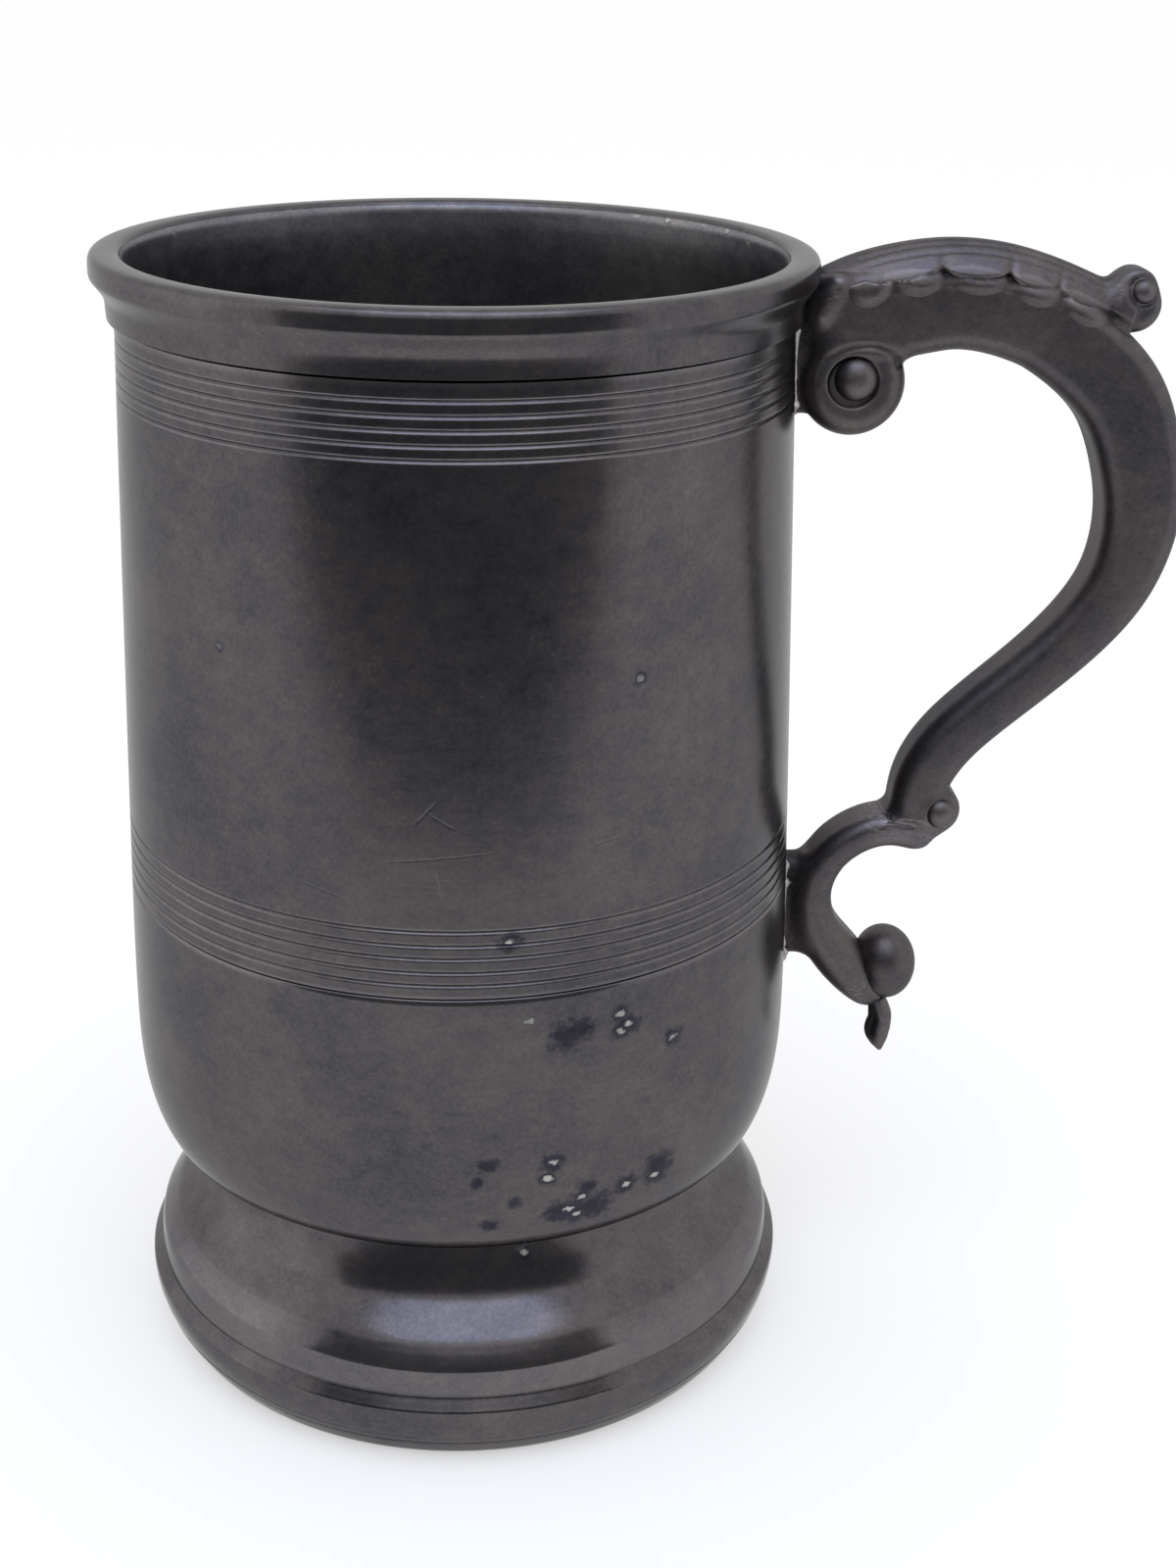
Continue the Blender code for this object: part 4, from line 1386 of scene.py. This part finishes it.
@dataclass
class ThumbLeaf:
    """The acanthus leaf along the handle's crest, with two tiers of lobes and a curled end."""

    handle: ScrollHandle
    step: float = 0.22
    box: Tuple[Triple, Triple] = ((41.0, -6.1, 134.5), (86.0, 6.1, 147.2))
    stations: Tuple[Station, ...] = (
        (43.0, 140.1, 4.6, 8.4), (48.5, 142.4, 5.2, 10.2), (57.5, 144.0, 5.5, 11.4), (66.0, 143.4, 5.5, 11.2),
        (73.5, 141.2, 5.2, 9.8), (78.5, 139.2, 5.0, 7.6), (82.0, 138.6, 5.4, 5.4))
    tips: Tuple[float, ...] = (48.3, 57.5, 65.8, 71.9, 78.9)
    tier_tips: Tuple[float, ...] = (45.5, 51.4, 58.0, 66.3, 72.8, 79.5)
    blade_half: float = 4.85
    blade_low: float = 1.3
    blade_power: float = 1.6
    flare: float = 0.42
    swell: float = 0.62
    veins: Triple = (0.9, 1.9, 3.0)
    curl: Tuple[Disc, Disc] = (Disc((82.0, 140.6), 2.8, 2.55, 1.3), Disc((82.15, 138.9), 3.25, 2.9, 1.6))
    ball: Boss = Boss((82.7, 140.75), 1.5, 2.4, 1.35)
    curl_highlight: Point = (79.9, 140.7)
    line: CentreLine = field(init=False)

    def __post_init__(self) -> None:
        self.step *= 1.0
        self.line = CentreLine(self.stations)

    def lobes(self, run: Array, tips: Sequence[float]) -> Tuple[Array, Array]:
        """Split the run along the leaf into lobes.

        Args:
            run: Runs along the centre line.
            tips: The X of the notches between lobes, both ends included.

        Returns:
            How far along its lobe each run lies, from 0 to 1, and a mask that fades past the ends.
        """
        bounds = self.line.run_at(np.array(tips))
        i = np.clip(np.searchsorted(bounds, run) - 1, 0, len(bounds) - 2)
        part = np.clip((run - bounds[i]) / (bounds[i + 1] - bounds[i]), 0.0, 1.0)
        first, last = bounds[0], bounds[-1]
        return part, ease(first - 2.5, first + 2.0, run) * ease(last + 2.0, last - 0.5, run)

    def scoop(self, run: Array, n: Array) -> Tuple[Array, Array, Array]:
        """Lay out the upper tier's almond scoops.

        Each runs from a rounded left end to a pointed right one, between an upper and a lower edge that are
        sine arches over the lobe.

        Args:
            run: Runs along the centre line.
            n: Offsets from it.

        Returns:
            The lower edge, how far down the scoop each offset lies, from 0 to 1, and the scoops' strength.
        """
        part, on_leaf = self.lobes(run, self.tips)
        arch = np.abs(np.sin(math.pi * part ** 0.85))
        low = -0.55 - 1.05 * arch ** 0.8
        high = -0.5 + 0.85 * np.abs(np.sin(math.pi * part ** 0.8)) ** 0.9
        strength = arch ** 0.5 * (0.6 + 0.4 * part) * on_leaf
        return low, np.clip((high - n) / (high - low + 0.08), 0.0, 1.0), strength

    def blade(self, near: Near, side: Array) -> Array:
        """Give the distance to the leaf's blade.

        It is a roof over the bar, a superellipse of half width and rise, whose rim flares out in one scoop
        for each lobe and stops at a scalloped edge. Faint creases and veins run along the crest.

        Args:
            near: What the leaf's centre line says at the points.
            side: The points' distances from the middle plane.

        Returns:
            Distances, negative inside.
        """
        n, power = near.offset, self.blade_power
        low, down, strength = self.scoop(near.run, n)
        half = self.blade_half * np.minimum(near.half_wide / 5.7, 1.0) ** 0.8
        half = half + self.flare * down ** 1.6 * strength
        lift = np.maximum(n + self.blade_low, 0.0) / (near.half_thick + self.blade_low)
        roof = 3.2 * (((side / half) ** power + lift ** power) ** (1.0 / power) - 1.0)
        part, on_leaf = self.lobes(near.run, self.tips)
        crease = hill(part, 0.0, 0.07) + hill(part, 1.0, 0.07)
        veins = sum(hill(side, place, 0.25) for place in self.veins)
        roof = roof + (0.16 * crease * ease(2.4, 0.0, n) + 0.09 * veins * ease(0.6, 1.3, n)) * on_leaf
        return smooth_max(roof, low - n, 0.9)

    def tier(self, near: Near, bar: Array) -> Array:
        """Give the distance to the lower tier, lobes that swell out of the bar's side and meet in notches.

        Args:
            near: What the leaf's centre line says at the points.
            bar: The points' distances to the bar.

        Returns:
            Distances, negative inside.
        """
        n = near.offset
        low = self.scoop(near.run, n)[0]
        part, on_tier = self.lobes(near.run, self.tier_tips)
        drop = np.abs(np.sin(math.pi * part)) ** 0.6
        swell = self.swell * ease(0.0, 2.3, n + 1.4 + 2.6 * drop) * drop ** 0.7 * on_tier
        skirt = 0.16 * ease(-3.6, -2.0, n) * on_tier - 0.14
        return np.maximum(bar - skirt - swell, np.maximum(-5.0 - n, n - low - 0.5))

    def shape(self, x: Array, y: Array, z: Array) -> Array:
        """Give the distance to the leaf.

        Blade and lower tier end in a curl, a bulb with a ring sunk round its ball. The bar is taken out, a
        little inside its skin, and so is the cup.

        Args:
            x: The points' X.
            y: The points' Y.
            z: The points' Z.

        Returns:
            Distances, negative inside.
        """
        near, side = self.line.near(x, z), np.abs(y)
        bar = self.handle.bar(x, y, z)
        bulb = smooth_min(self.curl[0].distance(x, y, z), self.curl[1].distance(x, y, z), 0.6)
        far = np.hypot(x - self.ball.centre[0], z - self.ball.centre[1])
        sunk = 0.22 * hill(far, 1.75, 0.35) * ease(1.4, 2.0, side)
        whole = smooth_max(np.minimum(self.blade(near, side), self.tier(near, bar)), near.over + 0.8, 1.5)
        whole = smooth_min(whole, bulb + sunk, 2.0)
        whole = np.maximum(whole, -0.7 - bar)
        return np.maximum(whole, self.handle.off_cup(x, y, z))

    def painted_light_and_shade(self, points: Array) -> Array:
        """Say where the leaf gets painted highlights, on its scoops, and painted shade, in notches under
        them.

        Args:
            points: The leaf's points.

        Returns:
            What to add to the leaf's wear attribute, as painted light and shade.
        """
        near = self.line.near(points[:, 0], points[:, 2])
        low, down, strength = self.scoop(near.run, near.offset)
        part, on_tier = self.lobes(near.run, self.tier_tips)
        # Painted shade in the notches under the scoops, and painted highlights on the scoops.
        notch = (hill(part, 0.0, 0.16) + hill(part, 1.0, 0.10)) * on_tier
        under = ease(-3.6, -2.4, near.offset) * ease(0.0, 0.35, low - near.offset)
        shine = strength * (0.25 * ease(0.05, 0.3, down) + 0.7 * hill(down, 0.2, 0.14))
        return shine * ease(-0.05, 0.1, near.offset - low) - 0.6 * notch * under

    def build(self, palette: Palette) -> None:
        """Make the leaf and its bosses and dress them.

        Args:
            palette: The finishes' materials.
        """
        metal = [palette.get(HANDLE_PEWTER)]
        leaf = cast(self.shape, *self.box, self.step)
        leaf.worn = np.clip(leaf.worn + self.painted_light_and_shade(leaf.points), -1.0, 1.0)
        x, y, z = leaf.points.T
        # Painted highlight: lighter streaks on the curl's side faces, beside the ball.
        curl_highlight_mask = hill(x, self.curl_highlight[0], 0.9) * hill(z, self.curl_highlight[1], 0.9)
        leaf.filed = curl_highlight_mask * ease(1.0, 2.0, np.abs(y))
        place_piece("acanthus_leaf", leaf, metal, Slot.HANDLE, "thumb_leaf")
        for side, end in SIDES:
            place_piece(f"leaf_ball_{end}", self.ball.skin(side), metal, Slot.HANDLE, f"leaf_boss_{end}")


# The solder

@dataclass(frozen=True)
class Fillet:
    """A ring of solder under the floor: its outer and inner radius, and its lower and upper height."""

    outer: float
    inner: float
    low: float
    high: float


@dataclass(frozen=True)
class Seam:
    """Solder round a pad: its lower and upper end, half its width, the bead's radius, and blobs by height."""

    low: float
    high: float
    half: float
    bead: float
    blobs: Tuple[Point, ...]


@dataclass
class SolderWork:
    """The solder that holds the pieces: two rings under the floor and two seams behind the handle."""

    cup: CupBody
    under_floor: Fillet = Fillet(31.5, 28.8, 28.35, 29.6)
    in_foot: Fillet = Fillet(31.1, 29.4, 26.65, 28.0)
    upper: Seam = Seam(126.0, 138.6, 3.75, 0.42, ((127.6, 0.25), (130.6, 0.3), (133.2, 0.2), (136.0, 0.35)))
    lower: Seam = Seam(50.5, 65.7, 3.2, 0.22,
                       ((64.5, 0.8), (62.4, 0.8), (53.6, 0.35), (52.2, 0.5), (51.0, 0.4)))

    def ring(self, fillet: Fillet) -> Skin:
        """Turn a fillet: a ring whose inner face is hollow, with a slow waver in its bore.

        Args:
            fillet: The ring's sizes.

        Returns:
            The closed skin.
        """
        turn = np.linspace(0.0, math.pi, 16)
        bore = fillet.inner + 0.5 * (fillet.outer - fillet.inner) * np.sin(turn)
        face = np.stack([bore, np.linspace(fillet.low, fillet.high, len(turn))], 1)
        back = [(fillet.outer, fillet.high), (fillet.outer, fillet.low)]
        skin = revolve(np.vstack([face, back]), self.cup.steps)
        bearing = np.arctan2(skin.points[:, 1], skin.points[:, 0])
        near_bore = np.hypot(skin.points[:, 0], skin.points[:, 1]) < fillet.outer - 0.05
        waver = 1.0 + 0.006 * near_bore * (np.sin(7.0 * bearing) + 0.6 * np.sin(13.0 * bearing + 1.0))
        skin.points[:, :2] *= waver[:, None]
        return skin

    def bead(self, seam: Seam) -> Skin:
        """Run a bead of solder round a pad on the cup's skin: an uneven tube along a rounded rectangle.

        The path is a superellipse of the pad's half width and half height, wrapped on the cup; the tube's
        radius wavers along it and swells at the blobs.

        Args:
            seam: The bead's sizes.

        Returns:
            The closed skin.
        """
        rows, sides = 160, 14
        t = np.linspace(0.0, 2.0 * math.pi, rows, endpoint=False)[:, None]
        s = np.linspace(0.0, 2.0 * math.pi, sides, endpoint=False)[None, :]
        middle, tall = 0.5 * (seam.low + seam.high), 0.5 * (seam.high - seam.low)
        corner = np.sign(np.cos(t)) * np.abs(np.cos(t)) ** 0.4
        rise = np.sign(np.sin(t)) * np.abs(np.sin(t)) ** 0.4
        waver = (0.33 * np.sin(7.0 * t + seam.low) + 0.27 * np.sin(17.0 * t + 2.0 * seam.low)
                 + 0.15 * np.sin(31.0 * t))
        size = seam.bead * (1.0 + waver)
        size = size + sum(swell * hill(middle + tall * rise, height, 0.55) for height, swell in seam.blobs)
        aside = 0.03 * np.sin(9.0 * t) + 0.02 * np.sin(17.0 * t + 1.0)
        y = seam.half * corner * (1.0 + size * np.cos(s) / seam.half + aside)
        z = middle + tall * rise * (1.0 + size * np.cos(s) / tall)
        r = self.cup.wall_radius(z) + 0.05 + 0.9 * size * np.sin(s)
        x = np.sqrt(np.maximum(r * r - y * y, 1.0)) + self.cup.lean[0]
        points = np.stack([x, y, z], -1).reshape(-1, 3)
        quads = grid_quads(rows, sides, True, True)
        return Skin(points, quads, np.zeros(len(points)), np.zeros(len(quads), int))

    def build(self, palette: Palette) -> None:
        """Make the solder and dress it.

        Args:
            palette: The finishes' materials.
        """
        metal = [palette.get(TIN_SOLDER)]
        place_piece("floor_fillet", self.ring(self.under_floor), metal, Slot.SOLDER, "floor_solder")
        place_piece("foot_fillet", self.ring(self.in_foot), metal, Slot.SOLDER, "foot_solder")
        place_piece("upper_seam", self.bead(self.upper), metal, Slot.SOLDER, "upper_solder")
        place_piece("lower_seam", self.bead(self.lower), metal, Slot.SOLDER, "lower_solder")


# The studio

@dataclass(frozen=True)
class Panel:
    """A soft lamp: its place in mm, sides in metres, watts, colour, and turn about Y in degrees."""

    name: str
    place: Triple
    size: Point
    energy: float
    colour: Triple
    turn: float = 0.0


@dataclass
class Studio:
    """The pale floor, the soft light and the camera at the photograph's place."""

    focal_px: float = 2180.0
    frame_high_px: float = 1600.0
    sensor: float = 36.0
    eye: Triple = (0.0, -260.0, 184.5)
    pitch: float = 22.70
    yaw: float = 3.62
    roll: float = 1.01
    floor_reach: float = 6000.0
    floor_drop: float = 0.02
    floor_white: float = 0.98
    floor_seen: float = 0.45
    floor_mirrored: float = 0.8
    flag_radius: float = 285.0
    flag_spread: float = 50.0
    flag_turn: float = -92.0
    flag_top: float = 235.0
    flag_lift: float = 70.0
    flag_grey: float = 0.19
    panels: Tuple[Panel, ...] = (
        Panel("sky_panel", (0.0, -420.0, 900.0), (0.82, 0.7), 3.4, (0.61, 0.71, 1.0)),
        Panel("side_panel", (-1000.0, 100.0, 350.0), (0.8, 0.9), 0.6, (1.0, 1.0, 1.0), -90.0))

    def camera(self) -> None:
        """Set the camera up from its pitch, yaw and roll."""
        pitch, yaw, roll = (math.radians(a) for a in (self.pitch, self.yaw, self.roll))
        ahead = np.array([math.sin(yaw) * math.cos(pitch), math.cos(yaw) * math.cos(pitch), -math.sin(pitch)])
        level = np.array([math.cos(yaw), -math.sin(yaw), 0.0])
        up = np.cross(level, ahead)
        right = math.cos(roll) * level + math.sin(roll) * up
        top = -math.sin(roll) * level + math.cos(roll) * up
        data = bpy.data.cameras.new("camera")
        data.sensor_width = self.sensor
        data.lens = self.focal_px / self.frame_high_px * self.sensor
        data.clip_start = 0.01
        camera = bpy.data.objects.new("camera", data)
        turn = Matrix(np.stack([right, top, -ahead], 1).tolist()).to_4x4()
        camera.matrix_world = Matrix.Translation(self.metres(self.eye)) @ turn
        bpy.context.scene.collection.objects.link(camera)
        bpy.context.scene.camera = camera

    def metres(self, place: Triple) -> Triple:
        """Take a place from mm about the cup's axis to metres in the frame."""
        return (place[0] * METRE + AXIS_X, place[1] * METRE, place[2] * METRE)

    def matt(self, name: str, grey: float) -> Paint:
        """Start a matt material of one grey for the floor or the flag.

        Args:
            name: Its name.
            grey: Its grey, from 0 to 1.

        Returns:
            The paint, whose shader is fed.
        """
        paint = Paint(name)
        paint.finish(Base_Color=(grey, grey, grey), Roughness=1.0, Specular_IOR_Level=0.0)
        return paint

    def sheet(self, name: str, points: Array, quads: Array, material: bpy.types.Material) -> bpy.types.Object:
        """Put a sheet of the studio in place.

        Args:
            name: Its name.
            points: Its points, in mm about the cup's axis.
            quads: Four point numbers for each quad.
            material: What it is painted with.

        Returns:
            The sheet.
        """
        mesh = bpy.data.meshes.new(name)
        mesh.from_pydata((points * METRE + np.array([AXIS_X, 0.0, 0.0])).tolist(), [], quads.tolist())
        mesh.materials.append(material)
        mesh.shade_smooth()
        sheet = bpy.data.objects.new(name, mesh)
        bpy.context.scene.collection.objects.link(sheet)
        return sheet

    def floor(self) -> None:
        """Lay the floor, a sheet just under the foot, that looks whiter to the camera and in the metal."""
        paint = self.matt("white_floor", self.floor_white)
        seen = paint.node("ShaderNodeLightPath", out="Is Camera Ray")
        white = paint.node("ShaderNodeEmission", None, {"Color": (1.0, 1.0, 1.0), "Strength": 1.0})
        part = (self.floor_seen * seen + self.floor_mirrored * seen.beside("Is Glossy Ray")).below(1.0)
        own = Wire(paint, paint.shader.outputs[0])
        both = paint.node("ShaderNodeMixShader", None, {0: part, 1: own, 2: white})
        paint.plug(paint.output.inputs[0], both)
        corners = self.floor_reach * np.array([(-1.0, -1.0, 0.0), (1.0, -1.0, 0.0), (1.0, 1.0, 0.0),
                                               (-1.0, 1.0, 0.0)])
        self.sheet("floor", corners - (0.0, 0.0, self.floor_drop), np.array([(0, 1, 2, 3)]), paint.material)

    def flag(self) -> None:
        """Stand a grey flag round the front, seen only in the metal: a part of a cylinder about the cup."""
        rows, columns = 9, 41
        part = np.linspace(-1.0, 1.0, columns)[None, :]
        turn = np.radians(self.flag_spread * part + self.flag_turn)
        low = 0.5 + self.flag_lift * np.abs(part) ** 3
        z = low + np.linspace(0.0, 1.0, rows)[:, None] * (self.flag_top - low)
        x, y = (self.flag_radius * way + 0.0 * z for way in (np.cos(turn), np.sin(turn)))
        points = np.stack([x, y, z], -1).reshape(-1, 3)
        material = self.matt("flag", self.flag_grey).material
        flag = self.sheet("flag", points, grid_quads(rows, columns, False, False), material)
        flag.visible_camera = False
        flag.visible_diffuse = False
        flag.visible_shadow = False

    def light(self) -> None:
        """Fill the room with white, and hang a bluish panel high in front and a white one at the left."""
        world = bpy.data.worlds.new("room")
        world.use_nodes = True
        world.node_tree.nodes["Background"].inputs["Color"].default_value = (1.0, 1.0, 1.0, 1.0)
        world.node_tree.nodes["Background"].inputs["Strength"].default_value = 1.0
        bpy.context.scene.world = world
        for panel in self.panels:
            data = bpy.data.lights.new(panel.name, "AREA")
            data.shape = "RECTANGLE"
            data.size, data.size_y = panel.size
            data.energy = panel.energy
            data.color = panel.colour
            hung = bpy.data.objects.new(panel.name, data)
            hung.location = self.metres(panel.place)
            hung.rotation_euler = (0.0, math.radians(panel.turn), 0.0)
            bpy.context.scene.collection.objects.link(hung)

    def build(self) -> None:
        """Set the studio up."""
        bpy.context.scene.view_settings.view_transform = "Standard"
        self.camera()
        self.floor()
        self.flag()
        self.light()


def main() -> None:
    """Build the mug and its studio in order."""
    logging.basicConfig(level=logging.INFO, format="%(name)s %(message)s")
    palette = Palette()
    cup = CupBody()
    cup.build(palette)
    handle = ScrollHandle(cup)
    handle.build(palette)
    ThumbLeaf(handle).build(palette)
    SolderWork(cup).build(palette)
    Studio().build()


if __name__ == "__main__":
    main()
